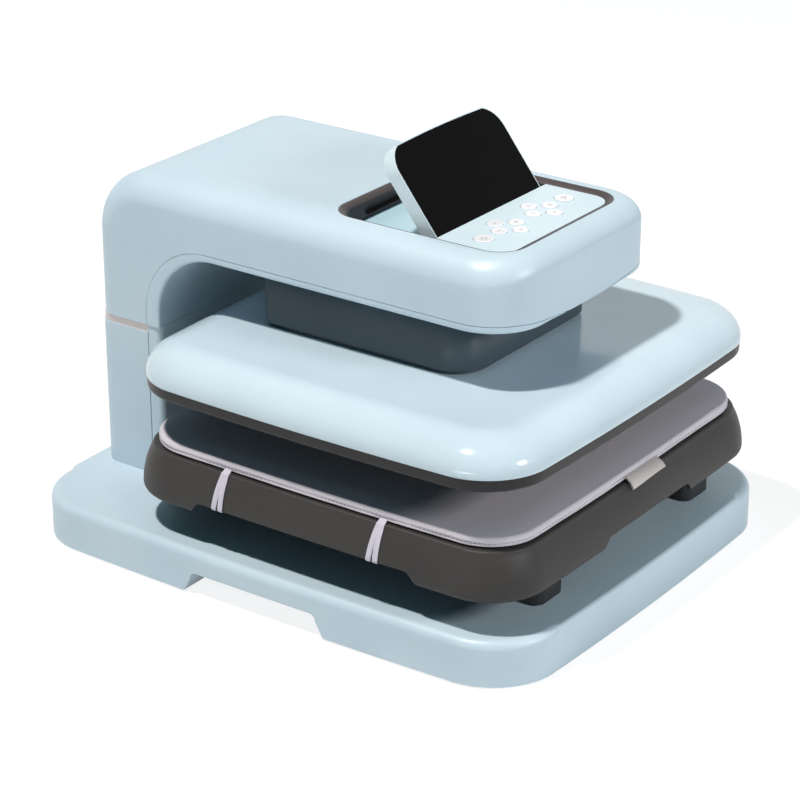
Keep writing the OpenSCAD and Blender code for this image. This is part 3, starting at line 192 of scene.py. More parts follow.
def brushed(name, dark, light, rough, line_mm):
    """A metal with fine lines from brushing or drawing: noise stretched along one axis sets both the colour
    streaks and the roughness."""
    stretch, smoother, rougher = 14.0, 0.08, 0.12
    material, tree, shader = new_material(name, Metallic=1.0)
    place = add(tree, "ShaderNodeTexCoord")
    turn = add(tree, "ShaderNodeMapping", {"Vector": (place, "Object")}, Scale=(stretch, 1.0, 1.0))
    lines = add(tree, "ShaderNodeTexNoise", {"Vector": (turn, "Vector")}, Scale=per_mm(line_mm * stretch),
                Detail=3.0)
    two_tone(tree, shader, (lines, "Fac"), dark, light)
    gloss = add(tree, "ShaderNodeMapRange", {"Value": (lines, "Fac")}, To_Min=rough - smoother,
                To_Max=rough + rougher)
    tree.links.new(gloss.outputs["Result"], shader.inputs["Roughness"])
    return material


def woven(name, warp, weft, thread_mm, depth_mm, **settings):
    """A plain weave: two crossed waves on the cloth's own UV map, in metres of cloth, raise the warp and the
    weft in turn, and each keeps its own thread colour. A wave's band is a twentieth of a full turn wide."""
    scale = 2 * math.pi / 20 * per_mm(thread_mm)
    material, tree, shader = new_material(name, **settings)
    place = add(tree, "ShaderNodeTexCoord")
    across, along = (
        add(tree, "ShaderNodeTexWave", {"Vector": (place, "UV")}, wave_type="BANDS", bands_direction=way,
            Scale=scale, Distortion=0.4, Detail=1.0)
        for way in "XY")
    height = add(tree, "ShaderNodeMath", {0: (across, "Fac"), 1: (along, "Fac")}, operation="ADD")
    two_tone(tree, shader, (across, "Fac"), warp, weft)
    bump = add(tree, "ShaderNodeBump", {"Height": (height, "Value")}, Strength=0.6, Distance=depth_mm / 1000)
    tree.links.new(bump.outputs["Normal"], shader.inputs["Normal"])
    return material


# Satin ABS of the housings: soft broad highlights on a faintly grained pale blue
ABS_BLUE = moulded("abs_pale_blue_satin", "#bfd2de", "#c5d7e2", 0.4, 1.4, 0.01)
# Gloss-moulded ABS of the platen cover: the housings' blue under a clear, sharp reflection, written a shade
# lighter as painted light on its top
ABS_GLOSS = moulded("abs_pale_blue_gloss", "#c5d7e2", "#cbdce6", 0.14, 2.5, 0.003, swing=0.03,
                    Coat_Weight=0.2, Coat_Roughness=0.04)
# Grained PP of the tray: dull warm grey with a visible tooth
PP_TRAY = moulded("polypropylene_dark_grained", "#302e2d", "#383635", 0.5, 1.2, 0.04, Specular_IOR_Level=0.3)
# The tray's floor and feet, moulded darker in the same PP
PP_FLOOR = moulded("polypropylene_black_grained", "#29292b", "#323234", 0.55, 1.2, 0.04,
                   Specular_IOR_Level=0.3)
# Heat-proof PBT of the platen's skirt: satin charcoal
PBT_SKIRT = moulded("pbt_charcoal_satin", "#1f1d1e", "#272526", 0.4, 1.0, 0.03, Specular_IOR_Level=0.3)
# Blue-grey ABS of the neck, satin
ABS_NECK = moulded("abs_slate_satin", "#3d4951", "#45515a", 0.4, 1.2, 0.015, Specular_IOR_Level=0.3)
# The inner sleeve that slides out of the neck, a shade lighter
ABS_SLEEVE = moulded("abs_slate_light_satin", "#525e66", "#5c6870", 0.4, 1.2, 0.015)
# Brown-black ABS of the panel's frame
ABS_BEZEL = moulded("abs_umber_satin", "#403838", "#493f40", 0.38, 1.0, 0.012, Specular_IOR_Level=0.3)
# Pale blue keypad plate, finely textured
ABS_PANEL = moulded("abs_keypad_plate", "#cfe1ea", "#d5e6ee", 0.42, 1.0, 0.012)
# Blue floor of the recess behind the screen
ABS_RECESS = moulded("abs_recess_floor", "#b4d3de", "#bcd9e3", 0.4, 1.0, 0.012)
# Pale shell of the screen, smooth and a little glossier
ABS_SCREEN = moulded("abs_screen_shell", "#d0e1ea", "#d6e6ee", 0.28, 1.2, 0.006)
# Gloss white keys
KEY_WHITE = moulded("abs_key_white_gloss", "#ecebef", "#f3f2f5", 0.26, 1.0, 0.005, Coat_Weight=0.3)
# Printed ink of the key marks: dull and faintly pink
KEY_INK = moulded("pad_print_ink", "#a4979a", "#b0a3a6", 0.6, 0.6, 0.004)
# Black nylon of the inlet and the motor's can
PLASTIC_BLACK = moulded("nylon_black", "#1a1a1b", "#232324", 0.5, 1.0, 0.03)
# Rubber feet: matt, with a rough skin
RUBBER = moulded("rubber_black", "#262626", "#2f2f2f", 0.8, 0.8, 0.05)
# Foam board under the pad, near-black as painted shade: its colour stands for the dark shadow gap under the
# hem
PAINTED_SHADE_FOAM = moulded("foam_board_painted_shade", "#131314", "#1a1a1b", 0.9, 1.2, 0.15, Specular_IOR_Level=0.1)
# Acrylic cover of the screen: black behind a hard polished face with an anti-reflective coat
SCREEN_BLACK = moulded("acrylic_screen_black", "#030303", "#050506", 0.05, 6.0, 0.0005, swing=0.01, IOR=1.12)
# Champagne paint on the trim band, with a fine metallic sparkle
TRIM_PAINT = moulded("metallic_paint_champagne", "#c8bebe", "#d3caca", 0.38, 0.7, 0.01, Metallic=0.25)
# Brushed steel of the frame, plates and rail
STEEL = brushed("steel_brushed", "#8d9397", "#a9afb3", 0.35, 0.4)
# Bright drawn steel of the screw, pins and bearing
STEEL_BRIGHT = brushed("steel_bright_drawn", "#c0c3c6", "#d9dcde", 0.2, 0.3)
# Non-stick coat on the aluminium heating plate: dark, with a low sheen
PLATE_COAT = moulded("ptfe_coat_dark", "#262729", "#2e2f31", 0.45, 1.0, 0.02)
# Turned brass of the nut and pinion
BRASS = brushed("brass_turned", "#a8854f", "#bd9b62", 0.32, 0.4)
# Solder-masked glass epoxy of the boards
BOARD = moulded("glass_epoxy_board", "#2a523f", "#34644d", 0.45, 0.8, 0.01)
# Natural nylon of the gear and slide pads
NYLON = moulded("nylon_natural", "#d2cdbd", "#dedaca", 0.45, 1.0, 0.02)
# Mineral fibre board above the heating plate: chalky, with open fibres
FIBRE_BOARD = moulded("mineral_fibre_board", "#e0dacc", "#efe9dc", 0.9, 2.0, 0.2)
# Cotton canvas of the pad; its threads are about 0.5 mm apart, and drawn 1.4 mm so that they show
CANVAS = woven("cotton_canvas_lilac_grey", "#d2cbd3", "#ded7de", 1.4, 0.1, Roughness=0.85,
               Specular_IOR_Level=0.05, Sheen_Weight=0.05, Sheen_Roughness=0.5)
# Polyester sewing thread of the hem, a shade darker than the canvas
THREAD = moulded("polyester_sewing_thread", "#8b8594", "#9892a1", 0.7, 0.4, 0.03)
# Knitted elastic of the bands; ribs 0.9 mm apart run along them
ELASTIC = woven("elastic_band_pale", "#cbc5d4", "#d8d3e0", 0.9, 0.12, Roughness=0.8, Sheen_Weight=0.15)
# Woven satin label, ivory, with a low sheen
LABEL = woven("satin_label_ivory", "#cfc5c2", "#d8cfcc", 0.7, 0.04, Roughness=0.55, Sheen_Weight=0.1)


# Meshes from arrays

def grid_faces(rows, cols, wrap=False):
    """Quads over a grid of points stored row by row; wrap joins the last column to the first."""
    r = np.arange(rows - 1)[:, None]
    c = np.arange(cols if wrap else cols - 1)[None, :]
    nxt = (c + 1) % cols
    quads = [r * cols + c, r * cols + nxt, (r + 1) * cols + nxt, (r + 1) * cols + c]
    return np.stack(np.broadcast_arrays(*quads), -1).reshape(-1, 4)


def patch(points, wrap=False, keep=None):
    """A grid of points (rows, cols, 3) as (points, faces); keep marks the quads that stay."""
    quads = grid_faces(*points.shape[:2], wrap)
    return points.reshape(-1, 3), quads if keep is None else quads[keep.ravel()]


def cap(points):
    """One flat face over a closed loop of points."""
    return points, np.arange(len(points))[None, :]


def make(name, patches, body, material, replaced=(), uv=None, sharp=35, weld=0.01):
    """Joins patches into one mesh, welds their shared edges, turns the faces outwards and rides it on a
    body. uv gives each point's place on the cloth, in millimetres."""
    points = np.concatenate([p for p, f in patches])
    starts = np.cumsum([0] + [len(p) for p, f in patches])
    faces = [face for (p, f), start in zip(patches, starts) for face in (f + start).tolist()]
    mesh = bpy.data.meshes.new(name)
    mesh.from_pydata((points / 1000).tolist(), [], faces)
    if uv is not None:
        corner = np.zeros(len(mesh.loops), dtype=np.int64)
        mesh.loops.foreach_get("vertex_index", corner)
        layer = mesh.uv_layers.new(name="cloth")
        layer.data.foreach_set("uv", (uv[corner] / 1000).astype(np.float32).ravel())
    work = bmesh.new()
    work.from_mesh(mesh)
    bmesh.ops.remove_doubles(work, verts=work.verts, dist=weld / 1000)
    bmesh.ops.dissolve_degenerate(work, edges=work.edges, dist=weld / 2000)
    bmesh.ops.recalc_face_normals(work, faces=work.faces)
    work.to_mesh(mesh)
    work.free()
    mesh.materials.append(material)
    mesh.polygons.foreach_set("use_smooth", [True] * len(mesh.polygons))
    mesh.set_sharp_from_angle(angle=math.radians(sharp))
    piece = bpy.data.objects.new(name, mesh)
    bpy.context.scene.collection.objects.link(piece)
    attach(piece, body)
    if replaced:
        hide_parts(*replaced)
    return piece


def thicken(piece, wall, bevel=0.0):
    """Gives an open surface its wall on the inner side, then rounds its rims."""
    solid = piece.modifiers.new("wall", "SOLIDIFY")
    solid.thickness = wall / 1000
    solid.offset = -1.0
    solid.use_even_offset = False
    if bevel:
        round_edges(piece, bevel)
    return piece


def round_edges(piece, width, segments=2, angle=40):
    edge = piece.modifiers.new("edge", "BEVEL")
    edge.width = width / 1000
    edge.segments = segments
    edge.limit_method = "ANGLE"
    edge.angle_limit = math.radians(angle)
    edge.harden_normals = True
    return piece


def arc(start, stop, count):
    return np.radians(np.linspace(start, stop, count))


def smooth(t):
    t = np.clip(t, 0, 1)
    return t * t * (3 - 2 * t)


def outline(size, y0=0.0, steps=14, runs=None):
    """A rounded rectangle whose sides bulge, walked anticlockwise: x, y and outward direction per point.
    A side's bulge is the bow times one minus the square of the place along it. runs gives the places of
    the points along the sides, from one end, 1, to the other, -1."""
    w, d, r, bow = size
    hw, hd = w / 2, d / 2
    run_x, run_y = runs or (np.linspace(1, -1, 26)[1:-1],) * 2
    corners = ((hw - r, hd - r, 0), (r - hw, hd - r, 90), (r - hw, r - hd, 180), (hw - r, r - hd, 270))
    x_side, y_side = np.full(len(run_y), hw), np.full(len(run_x), hd)
    edges = ((run_x * (hw - r), y_side, 0, 1), (-x_side, run_y * (hd - r), -1, 0),
             (-run_x * (hw - r), -y_side, 0, -1), (x_side, -run_y * (hd - r), 1, 0))
    parts = []
    for (cx, cy, turn), (ex, ey, nx, ny) in zip(corners, edges):
        a = arc(turn, turn + 90, steps)
        parts.append(np.stack([cx + r * np.cos(a), cy + r * np.sin(a), np.cos(a), np.sin(a)], -1))
        parts.append(np.stack([ex, ey, np.full(len(ex), nx), np.full(len(ex), ny)], -1))
    o = np.concatenate(parts)
    x, y = o[:, 0].copy(), o[:, 1].copy()
    o[:, 0] += np.sign(x) * bow * (1 - (y / hd) ** 2) * np.abs(x) / hw
    o[:, 1] += np.sign(y) * bow * (1 - (x / hw) ** 2) * np.abs(y) / hd
    o[:, 1] += y0
    return o


def rings(o, inset, z):
    """Copies of an outline set in along its own directions: inset and z are (rows,) or (rows, points)."""
    inset, z = (np.asarray(v, float) for v in (inset, z))
    inset, z = (v[:, None] if v.ndim == 1 else v for v in (inset, z))
    x = o[None, :, 0] - inset * o[None, :, 2]
    y = o[None, :, 1] - inset * o[None, :, 3]
    return np.stack(np.broadcast_arrays(x, y, z), -1)


def quarter_round(inset_r, height_r, count, full=2.0):
    """Inset and drop of a quarter ellipse, from the upright wall to the level top. A fullness below 2 makes
    it flatter in the middle and tighter at its ends."""
    a = arc(0, 90, count)
    return inset_r * (1 - np.cos(a) ** (2 / full)), height_r * (1 - np.sin(a) ** (2 / full))


def walked(points):
    """Distance walked along a line of points, from its start."""
    return np.concatenate([[0], np.cumsum(np.linalg.norm(np.diff(points, axis=0), axis=1))])


def mirrored(points):
    """The points on the other side of the middle plane."""
    return points * np.array([-1.0, 1.0, 1.0])


place_camera()


# Base

def base_cover():
    """The wall rises from the rim, or from the notch's edge where a finger notch is cut, to a rounded top
    edge whose radius grows from narrow at the middle of the front and back to wide on the sides."""
    w, d, r, bow = BASE_PLAN
    notch_half, notch_foot, notch_r, notch_in = 68.0, 76.0, 6.0, 46.0
    notch_z = RIM_Z + 20.0
    narrow, wide, step_from, step_to = 3.0, 8.0, 145.0, 155.0
    apart_x, apart_y = 10.0, 8.0
    turn_y, turn_z = quarter_round(notch_r, notch_r, 7)
    flat_y = np.linspace(notch_half - notch_r, 0, 9)[1:]
    half_y = np.concatenate([[notch_foot], notch_half - turn_y, flat_y])
    half_z = np.concatenate([[RIM_Z], notch_z - turn_z, np.full(len(flat_y), notch_z)])
    hold_y, hold_z = np.concatenate([half_y, -half_y[-2::-1]]), np.concatenate([half_z, half_z[-2::-1]])
    outer = np.linspace(d / 2 - r - apart_y, notch_foot + apart_y, 8)
    run_y = np.concatenate([outer, hold_y, -outer[::-1]]) / (d / 2 - r)
    step, mid = np.linspace(step_from, step_to, 9), np.linspace(step_from - apart_x, 0, 10)
    run_x = np.concatenate([step[::-1], mid, -mid[-2::-1], -step]) / (w / 2 - r)
    o = outline(BASE_PLAN, 0.0, 16, (run_x, run_y))
    on_notch = (np.abs(o[:, 2]) > ON_SIDE) & (np.abs(o[:, 1]) <= notch_foot + 0.01)
    low = np.where(on_notch, np.interp(o[:, 1], hold_y[::-1], hold_z[::-1]), RIM_Z)
    radius = narrow + (wide - narrow) * smooth((np.abs(o[:, 0]) - step_from) / (step_to - step_from))
    rise = np.linspace(0, 1, 4)[:, None]
    wall = rings(o, np.zeros(4), low + rise * (BASE_TOP - radius - low))
    set_in, drop = quarter_round(1.0, 1.0, 9)
    edge = rings(o, radius * set_in[:, None], BASE_TOP - radius * drop[:, None])
    patches = [patch(wall, True), patch(edge, True), cap(edge[-1])]
    for side in (-1, 1):
        x_out = side * (w / 2 + bow * (1 - (hold_y / (d / 2)) ** 2))
        x_in = np.full(len(hold_y), side * (w / 2 - notch_in))
        hold = np.stack([np.stack([x, hold_y, hold_z], -1) for x in (x_out, x_in)])
        patches += [patch(hold), cap(hold[1])]
    return thicken(make("base_cover_shell", patches, "base", ABS_BLUE, ["base_cover"]), WALL, RIM_R)


# Column

def column_plan(y_joint, y_end, r, xs):
    """One half of the column's rounded plan, from the joint on the right side to the joint on the left: the
    corners are quarter circles, and xs are the points of the flat run between them."""
    set_in, short = quarter_round(r, r, 12)
    into = np.sign(y_end - y_joint)
    half = np.stack([COLUMN_HALF - np.append(0, set_in), np.append(y_joint, y_end - into * short)], -1)
    flat = np.stack([xs, np.full(len(xs), y_end)], -1)
    return np.concatenate([half, flat, half[::-1] * [-1, 1]])


def column_strip(name, node, path, z, hole_x, hole_z):
    """An upright strip along a plan; the quads inside the hole are left out."""
    x, y, z = np.broadcast_arrays(path[None, :, 0], path[None, :, 1], z[:, None])
    strip = np.stack([x, y, z], -1)
    mid = (strip[1:, 1:] + strip[:-1, :-1]) / 2
    in_hole = (mid[..., 1] > STRIP_Y + JOINT) & (mid[..., 0] > hole_x[0]) & (mid[..., 0] < hole_x[1])
    in_hole &= (mid[..., 2] > hole_z[0]) & (mid[..., 2] < hole_z[1])
    thicken(make(name, [patch(strip, keep=~in_hole)], "base", ABS_BLUE, [node]), WALL, RIM_R)


def column_shells():
    """Two upright strips: the back cover, with the inlet's opening, and the front panel."""
    inlet_flange, above_base, back_r, front_r = 3.0, 0.05, 18.0, 6.0
    hole_x, hole_z = ((low + inlet_flange, high - inlet_flange)
                      for low, high in (span("power_inlet", a) for a in "xz"))
    foot = BASE_TOP + above_base
    back_xs = np.array(hole_x[::-1])
    back_z = np.array([foot, *hole_z, TRIM_Z - JOINT / 2])
    front_xs = np.zeros(1)
    front_z = np.array([foot, HEAD_Z - JOINT / 2])
    column_strip("column_back_shell", "column_cover",
                 column_plan(STRIP_Y + JOINT, COLUMN_BACK, back_r, back_xs), back_z, hole_x, hole_z)
    column_strip("column_front_shell", "column_front_panel",
                 column_plan(STRIP_Y - JOINT, COLUMN_FRONT, front_r, front_xs), front_z, hole_x, hole_z)


# Head

SIDE_R, FRONT_R, BACK_R, PLAN_R = 24.0, 16.0, 58.0, 50.0
# Fullness of the head's rounded edges
HEAD_FULL = 1.75
THROAT_R = 62.0
SEAM_R = THROAT_R + SEAM_Z - ARM_LO
# The throat's and the parting line's arcs turn about these places in Y and Z
THROAT_C = (COLUMN_FRONT - THROAT_R, ARM_LO - THROAT_R)
SEAM_C = (STRIP_Y - SEAM_R, SEAM_Z - SEAM_R)
# Where the back's surface ends and the panel's surround begins
JOIN_Y = 60.0
# The front's parting line is low inside the first half width and at full height outside the second
LIP_LOW, LIP_HIGH = 25.0, 95.0


def front_parting(x):
    """Height of the parting line at the arm's front: it runs down to the lower edge at the middle."""
    return ARM_LO + (SEAM_Z - ARM_LO) * np.clip((np.abs(x) - LIP_LOW) / (LIP_HIGH - LIP_LOW), 0, 1)


def front_turn(count):
    """Points of the arm's left front corner in plan, and their outward directions."""
    a = arc(180, 270, count)[1:]
    x = PLAN_R - HEAD_HALF + PLAN_R * np.cos(a)
    return x, ARM_FRONT + PLAN_R + PLAN_R * np.sin(a), np.cos(a), np.sin(a)


def stations(*runs):
    """Joins runs of stations along an edge: each is x, y, z of the sharp corner, the outward direction of
    the side in X and Y, and that of the other face in Y and Z. Single numbers are repeated."""
    t = np.concatenate([np.stack(np.broadcast_arrays(*run), -1) for run in runs])
    nil = np.zeros(len(t))
    return t[:, :3], np.stack([t[:, 3], t[:, 4], nil], -1), np.stack([nil, t[:, 5], t[:, 6]], -1)


def rounded_edge(corner, side, face, radius, count, full=2.0):
    """A ribbon of the given radius and fullness round an edge, from the side to the other face."""
    set_in, drop = quarter_round(1.0, 1.0, count, full)
    r = np.broadcast_to(radius, len(corner))[None, :, None]
    return corner - r * set_in[:, None, None] * side - r * drop[:, None, None] * face


def spread(edge, across):
    """A surface between an edge on the left and its mirror image: each station runs straight across, and
    across gives the shares of its half width where the points lie, from 1, left, to -1, right."""
    rest = np.broadcast_to(edge[:, None, 1:], (len(edge), len(across), 2))
    return np.concatenate([edge[:, None, :1] * across[None, :, None], rest], -1)


def radial(o, centre, angle):
    """Where rays from the centre, at these angles, meet a closed convex outline."""
    a = np.arctan2(o[:, 1] - centre[1], o[:, 0] - centre[0])
    order = np.argsort(a)
    a, x, y = a[order], o[order, 0], o[order, 1]
    a = np.concatenate([a - 2 * np.pi, a, a + 2 * np.pi])
    return np.interp(angle, a, np.tile(x, 3)), np.interp(angle, a, np.tile(y, 3))


def head_cover():
    """A rounded edge of varying radius runs over the back, along both top edges and round the front. Inside
    it lie the flat top, with the panel's opening, and the bent back; outside it hang the walls, which end on
    the parting line over the throat."""
    panel_gap = 0.1
    yc, zc = HEAD_BACK - BACK_R, ARM_TOP - BACK_R
    up_z = np.linspace(HEAD_Z, zc, 12)[:-1]
    phi = arc(90, 0, 19)
    bend = arc(0, 90, 10)[1:]
    over_y = np.linspace(yc, SEAM_C[0], len(bend) + 1)[1:]
    back_y = np.linspace(SEAM_C[0], JOIN_Y, 9)[1:]
    arm_y = np.linspace(JOIN_Y, ARM_FRONT + PLAN_R, 26)[1:]
    top_y = np.concatenate([over_y, back_y, arm_y])
    tx, ty, nx, ny = front_turn(17)
    front_x = np.linspace(PLAN_R - HEAD_HALF, 0, 12)[1:]
    corner, side, top = stations(
        (-HEAD_HALF, HEAD_BACK, up_z, -1, 0, 1, 0),
        (-HEAD_HALF, yc + BACK_R * np.sin(phi), zc + BACK_R * np.cos(phi), -1, 0, np.sin(phi), np.cos(phi)),
        (-HEAD_HALF, top_y, ARM_TOP, -1, 0, 0, 1),
        (tx, ty, ARM_TOP, nx, ny, 0, 1),
        (front_x, ARM_FRONT, ARM_TOP, 0, -1, 0, 1))
    radius = SIDE_R * side[:, 0] ** 2 + FRONT_R * side[:, 1] ** 2
    ribbon = rounded_edge(corner, side, top, radius, 15, HEAD_FULL)
    outer, inner = ribbon[0], ribbon[-1]
    n_back = len(up_z) + len(phi)
    n_side = n_back + len(top_y)
    drop = np.linspace(0, 1, 4)[:, None, None]
    # Wall round the front, straight down to the parting line
    front = outer[n_side - 1:]
    foot = np.column_stack([front[:, :2], front_parting(front[:, 0])])
    front_wall = front * (1 - drop) + foot * drop
    # Flat side: ruled from the rounded edge to the parting line
    t_up, t_arc = np.linspace(0, 1, len(up_z) + 1)[:-1], np.linspace(0, 1, len(phi))
    first_y = HEAD_BACK - SIDE_R
    lower = np.concatenate([
        np.stack(np.broadcast_arrays(first_y + t_up * (STRIP_Y - first_y), HEAD_Z), -1),
        np.stack(np.broadcast_arrays(STRIP_Y, HEAD_Z + t_arc * (SEAM_C[1] - HEAD_Z)), -1),
        np.stack([SEAM_C[0] + SEAM_R * np.cos(bend), SEAM_C[1] + SEAM_R * np.sin(bend)], -1),
        np.stack(np.broadcast_arrays(outer[n_back + len(bend):n_side, 1], SEAM_Z), -1)])
    lower = np.column_stack([np.full(len(lower), -HEAD_HALF), lower])
    side_wall = outer[:n_side] * (1 - drop) + lower * drop
    # Back, and the top behind the panel
    join = n_back + len(over_y) + len(back_y)
    back = spread(inner[:join], np.linspace(1, -1, 25))
    # Top round the panel's opening
    panel_y = middle("panel_bezel", "y")
    left = inner[join - 1:]
    rim = np.concatenate([left, mirrored(left)[-2::-1], back[-1][1:-1][::-1]])
    hx, hy = radial(outline(panel_plan(panel_gap), panel_y, 16), (0, panel_y),
                    np.arctan2(rim[:, 1] - panel_y, rim[:, 0]))
    lip = np.stack([hx, hy, np.full(len(hx), ARM_TOP)], -1)
    surround = rim * (1 - drop) + lip * drop
    patches = [patch(back), patch(surround, True)]
    for part in (ribbon, front_wall, side_wall):
        patches += [patch(part), patch(mirrored(part))]
    return thicken(make("head_cover_shell", patches, "base", ABS_BLUE, ["head_cover"]), WALL, RIM_R)


def throat_liner():
    """The lower edge of the arm: a small rounded edge runs up the column, round the throat's arc, along the
    arm and round its front; the underside spans it, and a low wall rises from it to the parting line. At the
    middle of the front, where the head's lip comes down, the edge lies behind the lip."""
    edge_r, least_r, lip_fade, chord_back = 2.5, 0.3, 12.0, 3
    z = np.linspace(HEAD_Z + JOINT / 2, THROAT_C[1], 5)[:-1]
    phi = arc(0, 90, 17)
    y = np.linspace(THROAT_C[0], ARM_FRONT + PLAN_R, 24)[1:]
    tx, ty, nx, ny = front_turn(17)
    x = np.linspace(PLAN_R - HEAD_HALF, 0, 22)[1:]
    corner, side, under = stations(
        (-HEAD_HALF, COLUMN_FRONT, z, -1, 0, -1, 0),
        (-HEAD_HALF, THROAT_C[0] + THROAT_R * np.cos(phi), THROAT_C[1] + THROAT_R * np.sin(phi), -1, 0,
         -np.cos(phi), -np.sin(phi)),
        (-HEAD_HALF, y, ARM_LO, -1, 0, 0, -1),
        (tx, ty, ARM_LO, nx, ny, 0, -1),
        (x, ARM_FRONT, ARM_LO, 0, -1, 0, -1))
    n_bend = len(z) + len(phi)
    n_turn = n_bend + len(y) + len(tx)
    bend_r = SEAM_R - JOINT
    along = corner[n_bend:].copy()
    along[:, 2] = front_parting(along[:, 0]) - JOINT
    far = np.concatenate([
        np.stack(np.broadcast_arrays(-HEAD_HALF, STRIP_Y - JOINT, z), -1),
        np.stack(np.broadcast_arrays(-HEAD_HALF, SEAM_C[0] + bend_r * np.cos(phi),
                                     SEAM_C[1] + bend_r * np.sin(phi)), -1),
        along])
    number = np.arange(len(corner))
    hidden = np.where(number >= n_turn, 1 - smooth((np.abs(corner[:, 0]) - LIP_LOW) / lip_fade), 0)
    behind = (WALL + JOINT) * hidden[:, None] * side
    corner, far = corner - behind, far - behind
    radius = np.where(number < n_bend, edge_r, np.clip(far[:, 2] - ARM_LO, least_r, edge_r))
    far[n_bend:, 2] = np.maximum(far[n_bend:, 2], ARM_LO + radius[n_bend:])
    ribbon = rounded_edge(corner, side, under, radius, 6)
    rise = np.linspace(0, 1, 3)[:, None, None]
    band = ribbon[0] * (1 - rise) + far * rise
    chord = n_turn - 1 - chord_back
    front = ribbon[-1][chord:]
    rim = np.concatenate([front, mirrored(front)[-2::-1]])
    underside = spread(ribbon[-1][:chord + 1], rim[:, 0] / rim[0, 0])
    patches = [patch(underside), patch(np.stack([underside[-1], rim]))]
    for part in (ribbon, band):
        patches += [patch(part), patch(mirrored(part))]
    piece = make("throat_liner_shell", patches, "base", ABS_BLUE, ["throat_liner"])
    return thicken(piece, WALL, FINE_RIM_R)


def neck_sleeve():
    """A rounded rectangular sleeve with a small lip at its lower edge; its front corners are rounder than its
    back ones."""
    lip, front_r, back_r, below_arm = 2.0, 30.0, 12.0, 0.05
    front, back = span("neck_sleeve", "y")
    width, mid = 2 * span("neck_sleeve", "x")[1], (front + back) / 2
    wide, tight = (outline((width, back - front, r, 0.0), mid, 16) for r in (front_r, back_r))
    o = np.where(wide[:, 1:2] > mid, tight, wide)
    set_in, drop = quarter_round(lip, lip, 6)
    wall = rings(o, np.append(0.0, set_in), np.append(ARM_LO - below_arm, NECK_LO + drop))
    piece = make("neck_sleeve_shell", [patch(wall, True)], "base", ABS_NECK, ["neck_sleeve"])
    return thicken(piece, WALL)


# Panel

BEZEL_W, BEZEL_FLANGE, PANEL_R = 7.0, 2.0, 26.0


def panel_plan(grow):
    """The panel's outline: the bezel's box less its hidden flange, grown by a clearance."""
    w, d = (high - low - 2 * BEZEL_FLANGE for low, high in (span("panel_bezel", a) for a in "xy"))
    return w + 2 * grow, d + 2 * grow, PANEL_R + grow, 0.0


def panel_bezel():
    """A frame whose top slopes down from a thin lip to its inner edge, then falls to the recess floor. A
    finger pocket with round ends is sunk into the back wall."""
    lip_z, slope_z, lip_w, soft = ARM_TOP - 0.1, PANEL_TOP - 0.5, 0.8, 0.5
    scoop_half, scoop_cut, scoop_r = 45.0, 5.5, (PANEL_TOP - RECESS_Z) / 2 - 3.0
    scoop_z = (PANEL_TOP + RECESS_Z) / 2
    run = np.linspace(1, -1, 61)[1:-1]
    o = outline(panel_plan(0), middle("panel_bezel", "y"), 16, (run, run))
    past = np.maximum(0, np.abs(o[:, 0]) - scoop_half + scoop_r)
    tall = np.where(o[:, 3] > ON_SIDE, np.sqrt(np.maximum(0, scoop_r ** 2 - past ** 2)), 0)
    deep = BEZEL_W - scoop_cut * np.minimum(1, tall / 2)
    rows = [(0, RECESS_Z), (0, lip_z - soft), (0.3 * soft, lip_z - 0.3 * soft), (soft, lip_z), (lip_w, lip_z),
            (BEZEL_W - soft, slope_z + 0.4 * soft), (BEZEL_W, slope_z - soft), (BEZEL_W, scoop_z + tall),
            (deep, scoop_z + tall), (deep, scoop_z - tall), (BEZEL_W, scoop_z - tall), (BEZEL_W, RECESS_Z)]
    inset, z = (np.stack([np.broadcast_to(row[k], len(o)) for row in rows]) for k in (0, 1))
    body = rings(o, inset, z)
    foot = np.stack([body[-1], body[0]])
    return make("panel_bezel_frame", [patch(body, True), patch(foot, True)], "base", ABS_BEZEL,
                ["panel_bezel"], sharp=30)


# Keys

KEY_NAMES = [name for name in NODES if name.startswith("key_") and name != "key_board"]
KEY_FLANGE, KEY_EDGE, KEY_DISH, KEY_PROUD = 1.2, 0.9, 0.2, 0.9

# Generic marks as strokes on a key of unit size
POWER_RING = arc(125, 415, 25)
KEY_MARKS = {
    "minus": [[(-1, 0), (1, 0)]],
    "plus": [[(-1, 0), (1, 0)], [(0, -1), (0, 1)]],
    "up": [[(-1, -0.5), (0, 0.5), (1, -0.5)]],
    "down": [[(-1, 0.5), (0, -0.5), (1, 0.5)]],
    "start": [[(-0.7, -1), (1, 0), (-0.7, 1), (-0.7, -1)]],
    "power": [np.stack([np.cos(POWER_RING), np.sin(POWER_RING)], -1), [(0, 0.3), (0, 1.2)]],
}


def key_dish(rho, radius):
    """Height of a key's dished top above its highest ring, at a distance from its middle."""
    return KEY_DISH * (np.clip(rho / (radius - KEY_EDGE), 0, 1) ** 2 - 1)


def key_cap(name, cx, cy, high, radius):
    """A turned cap: a hidden flange, an upright wall, a rounded edge and a slightly dished top."""
    flange_down, flange_t, hub_r = 3.3, 2.5, 0.05
    flange_top = PANEL_TOP - flange_down
    flange = [flange_top - flange_t, flange_top, flange_top]
    set_in, drop = quarter_round(KEY_EDGE, KEY_EDGE, 7)
    dish = np.linspace(radius - KEY_EDGE, hub_r, 6)[1:]
    rho = np.concatenate([[radius + KEY_FLANGE] * 2, [radius], radius - set_in, dish])[:, None]
    z = np.concatenate([flange, high - drop, high + key_dish(dish, radius)])[:, None]
    a = arc(0, 360, 41)[:-1]
    turned = np.stack(np.broadcast_arrays(cx + rho * np.cos(a), cy + rho * np.sin(a), z), -1)
    patches = [patch(turned, True), cap(turned[0]), cap(turned[-1])]
    make(name + "_cap", patches, name, KEY_WHITE, [name])


